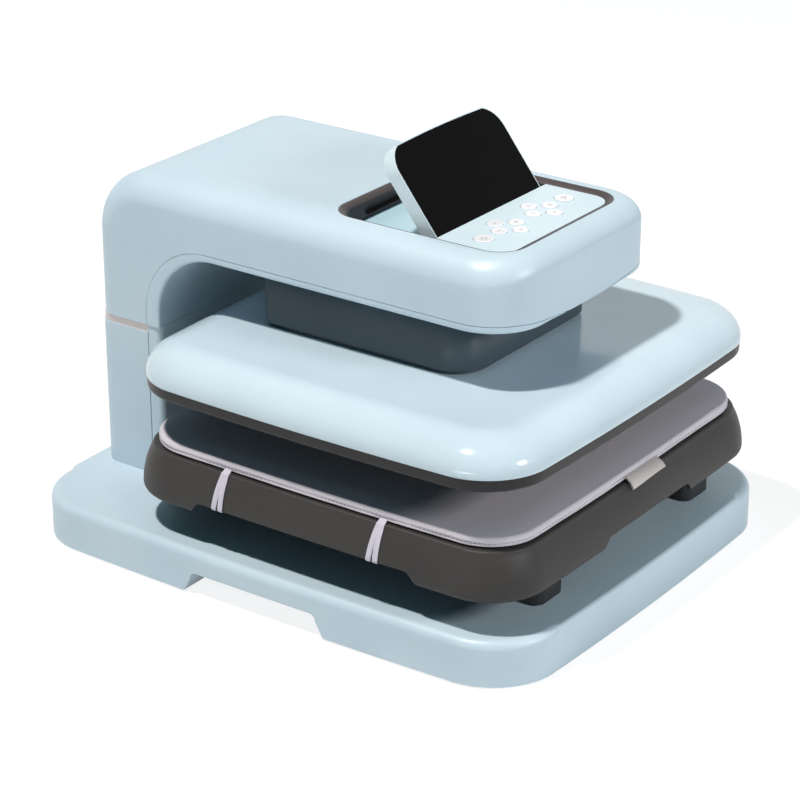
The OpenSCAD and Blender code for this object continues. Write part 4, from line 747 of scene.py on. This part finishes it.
def stroke(points, width):
    """A flat ribbon along a path: its edges lie half the width to each side, mitred at the bends."""
    p = np.asarray(points, float)
    step = np.diff(p, axis=0)
    step /= np.linalg.norm(step, axis=1)[:, None]
    ahead, behind = np.concatenate([step, step[-1:]]), np.concatenate([step[:1], step])
    way = ahead + behind
    way /= np.linalg.norm(way, axis=1)[:, None]
    half = width / 2 / np.clip(np.sum(way * ahead, axis=1), 0.5, 1)[:, None]
    normal = np.stack([-way[:, 1], way[:, 0]], -1)
    return np.stack([p + normal * half, p - normal * half])


def keys():
    """Each key gets its cap, and a printed mark that lies on the cap's dished top."""
    ink_lift, ink_w, mark_share = 0.03, 0.75, 0.3
    for name in KEY_NAMES:
        cx, cy, high = middle(name, "x"), middle(name, "y"), PANEL_TOP + KEY_PROUD
        radius = span(name, "x")[1] - cx - KEY_FLANGE
        key_cap(name, cx, cy, high, radius)
        patches = []
        for points in KEY_MARKS[name.split("_")[-1]]:
            flat = stroke(np.asarray(points, float) * mark_share * radius, ink_w)
            z = high + ink_lift + key_dish(np.linalg.norm(flat, axis=-1), radius)
            patches.append(patch(np.concatenate([flat + [cx, cy], z[..., None]], -1)))
        make(name + "_mark", patches, name, KEY_INK, weld=0.0001)


# Platen

def platen_cover():
    """A shallow lid: a small lower lip, a wide elliptical shoulder and a flat top."""
    shoulder_in, shoulder_h = 40.0, 27.5
    lip_in, lip_rise = [1.2, 0.4, 0.0], np.array([0.1, 0.3, 1.1])
    o = outline(PLATEN_PLAN, PRESS_Y, 20)
    set_in, drop = quarter_round(shoulder_in, shoulder_h, 18)
    inset = np.concatenate([lip_in, set_in])
    z = np.concatenate([COVER_LO + lip_rise, COVER_TOP - drop])
    shell = rings(o, inset, z)
    piece = make("platen_cover_shell", [patch(shell, True), cap(shell[-1])], "platen", ABS_GLOSS,
                 ["platen_cover"])
    return thicken(piece, WALL, FINE_RIM_R)


def platen_skirt():
    """A band under the cover: an upright wall, a rounded lower edge and a flat underside round the plate."""
    edge_r, back_by, clear, hole_r, below_cover = 3.5, 1.0, 1.0, 46.0, 0.1
    top = COVER_LO - below_cover
    o = outline(PLATEN_PLAN, PRESS_Y, 18)
    set_in, drop = quarter_round(edge_r, edge_r, 7)
    wall = rings(o, back_by + np.append(0.0, set_in), np.append(top, SKIRT_LO + drop))
    side = 2 * (span("heating_plate", "x")[1] + clear)
    inside = rings(outline((side, side, hole_r, 0.0), PRESS_Y, 18), [0, 0], [SKIRT_LO, top])
    loop = np.concatenate([wall, inside, wall[:1]])
    return make("platen_skirt_band", [patch(loop, True)], "platen", PBT_SKIRT, ["platen_skirt"])


# Tray

TRAY_H = TRAY_TOP - TRAY_Z
# Lean of the wall at its top and the power of its curve, then the radii of its foot, top edge and rim
TRAY_LEAN, TRAY_CURVE, TRAY_ROUND, TRAY_TOP_R, TRAY_RIM_R = 11.0, 2.4, 7.0, 2.5, 0.4
# Cut-outs in the lower edge: height, length of the ramp, then the middle and length on each side
CUT_H, CUT_RAMP = 12.0, 13.0
SIDE_CUT = (PRESS_Y + 5.0, 244.0)
FRONT_CUT = (6.0, 152.0)


def tray_inset(h):
    """Inset of the tray's wall at a height above its lower edge: a rounded foot, then a growing lean."""
    e = np.maximum(0, TRAY_ROUND - h)
    foot = TRAY_ROUND - np.sqrt(np.maximum(0, TRAY_ROUND ** 2 - e * e))
    return foot + TRAY_LEAN * (np.clip(h, 0, TRAY_H) / TRAY_H) ** TRAY_CURVE


def cut_height(place, centre, length):
    """Height of a raised cut-out's edge along a side: up a ramp with rounded ends, then level."""
    return CUT_H * smooth((length / 2 - np.abs(place - centre)) / CUT_RAMP)


def tray_shell():
    """The wall rises from its lower edge, which lifts over four cut-outs, rounds outwards and leans in to
    the top; a rounded shoulder leads to the flat top."""
    run = np.linspace(1, -1, 110)[1:-1]
    o = outline(TRAY_PLAN, PRESS_Y, 18, (run, run))
    lift = np.where(np.abs(o[:, 2]) > ON_SIDE, cut_height(o[:, 1], *SIDE_CUT), 0)
    lift = np.maximum(lift, np.where(np.abs(o[:, 3]) > ON_SIDE, cut_height(o[:, 0], *FRONT_CUT), 0))
    foot_shares = [0, 0.012, 0.035, 0.07, 0.11]
    rise = np.concatenate([foot_shares, np.linspace(0.16, 1, 16)])[:, None]
    h = lift + rise * (TRAY_H - TRAY_TOP_R - lift)
    wall = rings(o, tray_inset(h), TRAY_Z + h)
    set_in, drop = quarter_round(TRAY_TOP_R, TRAY_TOP_R, 6)
    top = rings(o, tray_inset(TRAY_H - TRAY_TOP_R) + set_in[1:], TRAY_TOP - drop[1:])
    shell = np.concatenate([wall, top])
    patches = [patch(shell, True), cap(shell[-1])]
    piece = make("tray_body", patches, "tray", PP_TRAY, ["tray_shell"])
    return thicken(piece, WALL, TRAY_RIM_R)


# Pad: a thin foam pad in a canvas cover with a stitched hem

PAD_NOSE, PAD_CROWN, PAD_CROWN_IN = 3.5, 1.5, 40.0
HEM_LIFT, SEAM_LIFT = 1.9, 4.5
# The most that the cover swells; its crown starts lower by as much
PAD_SWELL = 0.9
PAD_EDGE_H = PAD_TOP - PAD_CROWN - TRAY_TOP
PAD_SIDE_STEPS, PAD_CORNER_STEPS = 100, 10
# Waves of the cover along its edge: height, length for one radian, and start
PAD_WAVES = ((0.22, 17.0, 1.3), (0.18, 41.0, 0.0), (0.1, 7.3, 0.0))
# The elastic bands leave the hem in pairs, at these places along each side
STRAP_TOPS = (PRESS_Y + 90.0, PRESS_Y - 74.0)


def pad_outline():
    """The pad's outline with as many points on each of its four quarters, from the middle of one corner to
    the middle of the next."""
    run = np.linspace(1, -1, PAD_SIDE_STEPS - 2 * PAD_CORNER_STEPS + 1)[1:-1]
    o = outline(PAD_PLAN, PRESS_Y, 2 * PAD_CORNER_STEPS + 1, (run, run))
    return np.roll(o, -PAD_CORNER_STEPS, axis=0)


def between(edge):
    """Fills a closed loop of four equal quarters with a grid: each point is the sum of the straight blends
    between opposite sides, less the blend of the four corners."""
    n = len(edge) // 4
    loop = np.concatenate([edge, edge[:1]])
    north, west = loop[:n + 1], loop[n:2 * n + 1]
    south, east = loop[3 * n:2 * n - 1:-1], loop[:3 * n - 1:-1]
    s, t = np.linspace(0, 1, n + 1)[:, None, None], np.linspace(0, 1, n + 1)[None, :, None]
    ruled = (1 - t) * north[:, None] + t * south[:, None] + (1 - s) * east[None] + s * west[None]
    upper, lower = (1 - s) * north[0] + s * north[-1], (1 - s) * south[0] + s * south[-1]
    return ruled - (1 - t) * upper - t * lower


def pad_cover():
    """The side has a turned hem, a drawn-in seam and a round nose; the top rises to a low crown. The side
    waves gently along its length and is drawn in where the bands pull on it. A cloth simulation then lets
    the top swell over its foam."""
    pull_width, pull_in, pull_down = 10.0, 0.7, 0.3
    loose_at, loose_over = 3.5, 3.0
    last_in, last_up, free_rim = 2.0, 0.35, 0.5
    o = pad_outline()
    a = arc(12, 90, 9)
    nose = np.stack([PAD_NOSE * (1 - np.cos(a)), PAD_EDGE_H / 2 * (1 + np.sin(a))], -1)
    # Inset and height of the turned hem, of the seam above it, and of the first ring on the top
    turned = np.array([[6.0, 0.0], [1.4, -0.05], [0.6, 0.15], [0.3, 0.7]]) + [0, HEM_LIFT]
    sewn = np.array([[0.4, -0.9], [0.75, -0.3], [1.0, 0.0], [0.6, 0.35]]) + [0, SEAM_LIFT]
    last = np.array([[PAD_NOSE + last_in, PAD_EDGE_H + last_up]])
    profile = np.concatenate([turned, sewn, nose, last])
    walk = walked(o[:, :2])
    wave = sum(high * np.sin(walk / long + start) for high, long, start in PAD_WAVES)
    pull = sum(np.exp(-((o[:, 1] - y) / pull_width) ** 2) for y in STRAP_TOPS) * (np.abs(o[:, 2]) > 0.9)
    loose = np.exp(-((profile[:, 1] - loose_at) / loose_over) ** 2)[:, None]
    side = rings(o, profile[:, :1] + loose * (pull_in * pull - wave),
                 TRAY_TOP + profile[:, 1:] - loose * pull_down * pull)
    top = between(side[-1])
    i = np.arange(PAD_SIDE_STEPS + 1)
    from_edge = np.minimum(i, PAD_SIDE_STEPS - i) / PAD_SIDE_STEPS * PAD_PLAN[0]
    depth = np.minimum(from_edge[:, None], from_edge[None, :])
    crown = PAD_TOP - PAD_SWELL - side[-1, 0, 2]
    top[..., 2] += crown * np.sin(np.pi / 2 * np.clip(depth / PAD_CROWN_IN, 0, 1))
    length = walked(profile)
    side_uv = side[-1:, :, :2] + (length[-1] - length)[:, None, None] * o[None, :, 2:]
    uv = np.concatenate([part.reshape(-1, 2) for part in (side_uv, top[..., :2], side[0, :, :2])])
    piece = make("pad_canvas_cover", [patch(side, True), patch(top), cap(side[0])], "tray", CANVAS,
                 ["pad_cover", "pressing_pad"], uv, sharp=60, weld=0.001)
    swell(piece, (TRAY_TOP + PAD_EDGE_H - free_rim) / 1000)


def swell(piece, sewn_below):
    """Runs a cloth simulation with pressure inside and no gravity. What lies below the given height is held;
    elsewhere a point moves by the cap times the hyperbolic tangent of its share of the cap."""
    last_frame = 20
    mesh, scene = piece.data, bpy.context.scene
    rest = np.zeros(3 * len(mesh.vertices), dtype=np.float32)
    mesh.vertices.foreach_get("co", rest)
    rest = rest.reshape(-1, 3)
    held = piece.vertex_groups.new(name="sewn")
    held.add(np.flatnonzero(rest[:, 2] < sewn_below).tolist(), 1.0, "REPLACE")
    cloth = piece.modifiers.new("cloth", "CLOTH")
    cloth.settings.vertex_group_mass = held.name
    cloth.settings.use_pressure = True
    cloth.settings.uniform_pressure_force = 4.0
    cloth.settings.effector_weights.gravity = 0.0
    cloth.point_cache.frame_start, cloth.point_cache.frame_end = 1, last_frame
    for number in range(1, last_frame + 1):
        scene.frame_set(number)
    blown = np.zeros(rest.size, dtype=np.float32)
    piece.evaluated_get(bpy.context.evaluated_depsgraph_get()).data.vertices.foreach_get("co", blown)
    move = blown.reshape(-1, 3) - rest
    far = np.maximum(np.linalg.norm(move, axis=1), 1e-9)[:, None]
    most = PAD_SWELL / 1000
    piece.modifiers.remove(cloth)
    piece.vertex_groups.remove(held)
    swollen = rest + move / far * most * np.tanh(far / most)
    mesh.vertices.foreach_set("co", swollen.astype(np.float32).ravel())
    mesh.update()
    scene.frame_set(1)


def pad_underlay_painted_shade():
    """A thin foam board that lifts the hem off the tray: the pad's outline set in, with soft edges. Its black
    is painted shade for the gap under the hem.
    """
    set_in, soft, clear = 4.0, 0.4, 0.12
    inset = set_in + np.array([soft, 0, 0, soft])
    z = TRAY_TOP + np.array([clear, soft, HEM_LIFT - soft, HEM_LIFT - clear])
    board = rings(pad_outline(), inset, z)
    make("pad_underlay_painted_shade", [patch(board, True), cap(board[0]), cap(board[-1])], "tray", PAINTED_SHADE_FOAM)


def hem_stitches():
    """A row of stitches in the hem's seam: each is a spindle, thickest at its middle, that dips into the
    cloth at both ends."""
    pitch, length, thick, blunt, seam_in = 4.0, 2.8, 0.32, 0.08, 0.75
    o = pad_outline()
    seam = rings(o, [seam_in], [TRAY_TOP + SEAM_LIFT])[0]
    line = np.concatenate([np.concatenate([seam, o[:, 2:]], 1), np.append(seam[0], o[0, 2:])[None]])
    walk = walked(line[:, :3])
    s = np.linspace(0, 1, 5)
    along = np.arange(0, walk[-1] - pitch / 2, pitch)[:, None] + length * s[None, :]
    x, y, z, nx, ny = (np.interp(along, walk, line[:, k]) for k in range(5))
    out = np.stack([nx, ny, 0 * nx], -1)[:, :, None]
    a = arc(0, 360, 7)[:-1][:, None]
    up = np.array([0.0, 0.0, 1.0])
    fat = (thick * np.sin(np.pi * (blunt + (1 - 2 * blunt) * s)))[None, :, None, None]
    spindles = np.stack([x, y, z], -1)[:, :, None] + fat * (np.cos(a) * out + np.sin(a) * up)
    patches = [part for one in spindles for part in (patch(one, True), cap(one[0]), cap(one[-1]))]
    make("hem_stitches", patches, "tray", THREAD, weld=0.001, sharp=80)


# Elastic bands and the tag

BAND_W, BAND_T = 5.4, 0.9


def band_path():
    """The way of a band over the tray's edge, as inset from the tray's widest line and height: out of the
    hem, round the shoulder, down the leaning wall and under the cut-out's edge."""
    start_in, start_up, leave_in, leave_up = 15.0, 0.8, 13.1, 0.5
    below_edge, above_cut, hook_out, hook_in, slack = 2.0, 0.5, 0.1, 3.0, 0.2
    clear = slack + BAND_T / 2
    reach = TRAY_TOP_R + clear
    a = arc(75, 10, 6)
    centre = tray_inset(TRAY_H - TRAY_TOP_R) + TRAY_TOP_R
    bend = np.stack([centre - reach * np.cos(a), TRAY_TOP - TRAY_TOP_R + reach * np.sin(a)], -1)
    h = np.linspace(TRAY_H - TRAY_TOP_R - below_edge, CUT_H + above_cut, 14)
    wall = np.stack([tray_inset(h) - clear, TRAY_Z + h], -1)
    under = TRAY_Z + CUT_H - clear
    cut_in, hem_z = tray_inset(CUT_H), TRAY_TOP + HEM_LIFT
    hook = np.array([[cut_in + hook_out, under], [cut_in + WALL + hook_in, under]])
    hem = np.array([[start_in, hem_z + start_up], [leave_in, hem_z + leave_up]])
    return np.concatenate([hem, bend, wall, hook])


def elastic_bands():
    """Each band is a flat oval carried along the path; the two bands of a pair leave the hem together and
    spread apart down the wall in a soft curve."""
    pair_gap, drift, fan, curve, over, oval = 0.7, 4.0, 3.1, 0.75, 0.25, 0.6
    w, d, r, bow = TRAY_PLAN
    path = band_path()
    step = np.gradient(path, axis=0)
    step /= np.linalg.norm(step, axis=1)[:, None]
    length = walked(path)
    share = length / length[-1]
    a = arc(0, 360, 13)[:-1]
    flat = BAND_W / 2 * np.sign(np.cos(a)) * np.abs(np.cos(a)) ** oval
    cloth = np.stack(np.broadcast_arrays(flat[None, :], length[:, None]), -1)
    patches, uv = [], []
    pair = ((-1, 0), (1, over))
    for side, y_top, (lean, lift) in [(s, y, b) for s in (-1, 1) for y in STRAP_TOPS for b in pair]:
        y = y_top + pair_gap * lean + (drift + fan * lean) * share ** curve
        offset = BAND_T / 2 * np.sin(a)[None, :] + lift * (1 - share[:, None]) ** 2
        across = y[:, None] + flat[None, :]
        edge = w / 2 + bow * (1 - ((across - PRESS_Y) / (d / 2)) ** 2)
        x = edge - path[:, :1] - step[:, 1:] * offset
        tube = np.stack([side * x, across, path[:, 1:] - step[:, :1] * offset], -1)
        patches += [patch(tube, True), cap(tube[0]), cap(tube[-1])]
        uv += [cloth.reshape(-1, 2), cloth[0], cloth[-1]]
    make("elastic_bands", patches, "tray", ELASTIC, ["elastic_straps"],
         np.concatenate(uv), sharp=50, weld=0.0005)


def folded_tag():
    """A strip of label cloth, doubled: the upper ply leaves the seam level and bends down over an arc, turns
    round a small fold and runs back under itself. One end hangs lower than the other."""
    x0, x1 = span("pad_tag", "x")
    reach, drop, fold_r, cloth_t = 10.5, 7.4, 0.8, 0.35
    tuck, above_seam = 1.2, 0.6
    tilt, ripple, ripple_rate, draw_back = 0.36, 0.03, 7.0, 0.3
    y_seam = span("pad_tag", "y")[1] + tuck
    z_seam = TRAY_TOP + SEAM_LIFT + above_seam
    bend = math.radians(60)
    a = np.linspace(0, bend, 13)
    upper = np.stack([reach * np.sin(a) / math.sin(bend), drop * (1 - np.cos(a)) / (1 - math.cos(bend))], -1)
    way = upper[-1] - upper[-2]
    way /= np.linalg.norm(way)
    inward = np.array([-way[1], way[0]])
    turn = arc(0, 180, 7)[1:-1, None]
    fold = upper[-1] + fold_r * (np.sin(turn) * way + (1 - np.cos(turn)) * inward)
    lower = upper[:2:-1] + 2 * fold_r * inward
    strip = np.concatenate([upper, fold, lower])
    length = walked(strip)
    t = np.linspace(0, 1, 15)
    x = x0 + t * (x1 - x0)
    sag = tilt * (0.5 - t) + ripple * np.sin(ripple_rate * t)
    y = y_seam - strip[:, :1] * (1 - draw_back * sag)
    z = z_seam - strip[:, 1:] * (1 + sag)
    sheet = np.stack(np.broadcast_arrays(x[None, :], y, z), -1)
    uv = np.stack(np.broadcast_arrays(x[None, :], length[:, None]), -1).reshape(-1, 2)
    piece = make("folded_tag", [patch(sheet)], "tray", LABEL, ["pad_tag"], uv, sharp=60, weld=0.001)
    thicken(piece, cloth_t)


# Carried-over CAD nodes: their finishes, and soft edges where they show

FINISHES = {
    STEEL: ["base_plate", "column_frame", "arm_frame", "gear_plate", "guide_rail", "carriage_plate",
            "frame_screws", "platen_bolts"],
    STEEL_BRIGHT: ["lead_screw", "hinge_pins", "thrust_bearing", "temperature_sensor"],
    PLATE_COAT: ["heating_plate"],
    BRASS: ["screw_nut", "motor_pinion", "heating_element"],
    BOARD: ["power_board", "control_board", "key_board"],
    NYLON: ["screw_gear", "guide_pads"],
    FIBRE_BOARD: ["insulation_board"],
    PLASTIC_BLACK: ["power_inlet", "motor", "thermal_cutout", "display_module"],
    RUBBER: ["base_feet"],
    TRIM_PAINT: ["column_trim_band"],
    ABS_SLEEVE: ["inner_sleeve"],
    ABS_RECESS: ["recess_floor"],
    ABS_PANEL: ["keypad_panel"],
    ABS_BEZEL: ["hinge_ears"],
    ABS_SCREEN: ["screen_housing"],
    SCREEN_BLACK: ["screen_glass"],
    PP_FLOOR: ["tray_bottom", "tray_feet"],
}
# Edge radius of the nodes whose edges show
SOFT_EDGES = {"screen_housing": 1.0, "keypad_panel": 0.5, "hinge_ears": 0.5, "tray_feet": 1.5,
              "power_inlet": 0.4, "base_feet": 1.0, "guide_rail": 0.5, "heating_plate": 0.8}


def finish_nodes():
    """Gives each CAD node its material. A node with soft edges is welded, its flat faces are joined, and its
    edges are rounded."""
    for material, names in FINISHES.items():
        for name in names:
            slots = NODES[name].data.materials
            slots.clear()
            slots.append(material)
    for name, width in SOFT_EDGES.items():
        node = NODES[name]
        node.modifiers.new("weld", "WELD").merge_threshold = 0.00001
        flat = node.modifiers.new("flat", "DECIMATE")
        flat.decimate_type = "DISSOLVE"
        flat.angle_limit = math.radians(1)
        round_edges(node, width, 3)


# Studio

def seen_rays(tree):
    """A node that is 1 for what the camera sees straight, mirrored or through glass."""
    path = add(tree, "ShaderNodeLightPath")
    seen = add(tree, "ShaderNodeMath", {0: (path, "Is Camera Ray"), 1: (path, "Is Glossy Ray")},
               operation="MAXIMUM")
    return add(tree, "ShaderNodeMath", {0: (seen, "Value"), 1: (path, "Is Transmission Ray")},
               operation="MAXIMUM")


def stage_floor():
    """A wide paper floor. It throws light back as white paper does; seen straight or mirrored it is a grey
    that glows, nearly white where it is lit, with a faint shadow."""
    half = 6000.0
    reach = np.array([-half, half])
    grid = np.stack(np.meshgrid(reach, reach, [0.0], indexing="ij"), -1)[:, :, 0]
    points, quads = patch(grid)
    mesh = bpy.data.meshes.new("studio_floor")
    mesh.from_pydata((points / 1000).tolist(), [], quads.tolist())
    paper, tree, shader = new_material("studio_paper_white", Roughness=0.9, Specular_IOR_Level=0.0,
                                       Emission_Color=linear("#ececec"))
    seen = seen_rays(tree)
    colour = add(tree, "ShaderNodeMixRGB", {"Fac": (seen, "Value")}, Color1=linear("#e6e6e6"),
                 Color2=linear("#949494"))
    tree.links.new(colour.outputs["Color"], shader.inputs["Base Color"])
    tree.links.new(seen.outputs["Value"], shader.inputs["Emission Strength"])
    mesh.materials.append(paper)
    floor = bpy.data.objects.new("studio_floor", mesh)
    bpy.context.scene.collection.objects.link(floor)


def lamp(name, where, aim, size, power, tint="#ffffff"):
    """A rectangular soft box; where and aim are in metres."""
    data = bpy.data.lights.new(name, "AREA")
    data.color = linear(tint)[:3]
    data.shape = "RECTANGLE"
    data.size, data.size_y = size
    data.energy = power
    obj = bpy.data.objects.new(name, data)
    bpy.context.scene.collection.objects.link(obj)
    where, aim = np.array(where, float), np.array(aim, float)
    back = (where - aim) / np.linalg.norm(where - aim)
    right = np.cross([0, 0, 1], back)
    right /= np.linalg.norm(right)
    obj.matrix_world = pose_matrix(right, np.cross(back, right), back, where)


def studio():
    """A white world for the camera and for reflections that lights the object only faintly. A small key box
    high above, a little to the left and behind, throws the crisp shadows, a low strip level with the pad
    lights the left sides, and a box in front reaches under the platen."""
    world = bpy.data.worlds.new("studio_world")
    bpy.context.scene.world = world
    world.use_nodes = True
    tree = world.node_tree
    tree.nodes.clear()
    dim = add(tree, "ShaderNodeBackground", Color=linear("#7fd3e8"), Strength=0.12)
    white = add(tree, "ShaderNodeBackground", Color=linear("#ffffff"), Strength=1.0)
    sky = add(tree, "ShaderNodeMixShader",
              {0: (seen_rays(tree), "Value"), 1: (dim, "Background"), 2: (white, "Background")})
    add(tree, "ShaderNodeOutputWorld", {"Surface": (sky, "Shader")})
    lamp("key_box", (-1.14, 0.51, 3.51), (0, -0.05, 0.25), (0.22, 0.22), 120, "#fffaf5")
    lamp("front_box", (0.0, -2.1, 1.12), (0, -0.1, 0.15), (0.4, 0.4), 21)
    lamp("left_strip", (-2.5, -0.2, 0.14), (0, 0, 0.14), (1.2, 0.1), 5)


base_cover()
column_shells()
head_cover()
throat_liner()
neck_sleeve()
panel_bezel()
keys()
platen_cover()
platen_skirt()
tray_shell()
pad_cover()
pad_underlay_painted_shade()
hem_stitches()
elastic_bands()
folded_tag()
finish_nodes()
stage_floor()
studio()
bpy.context.scene.view_settings.view_transform = "Standard"
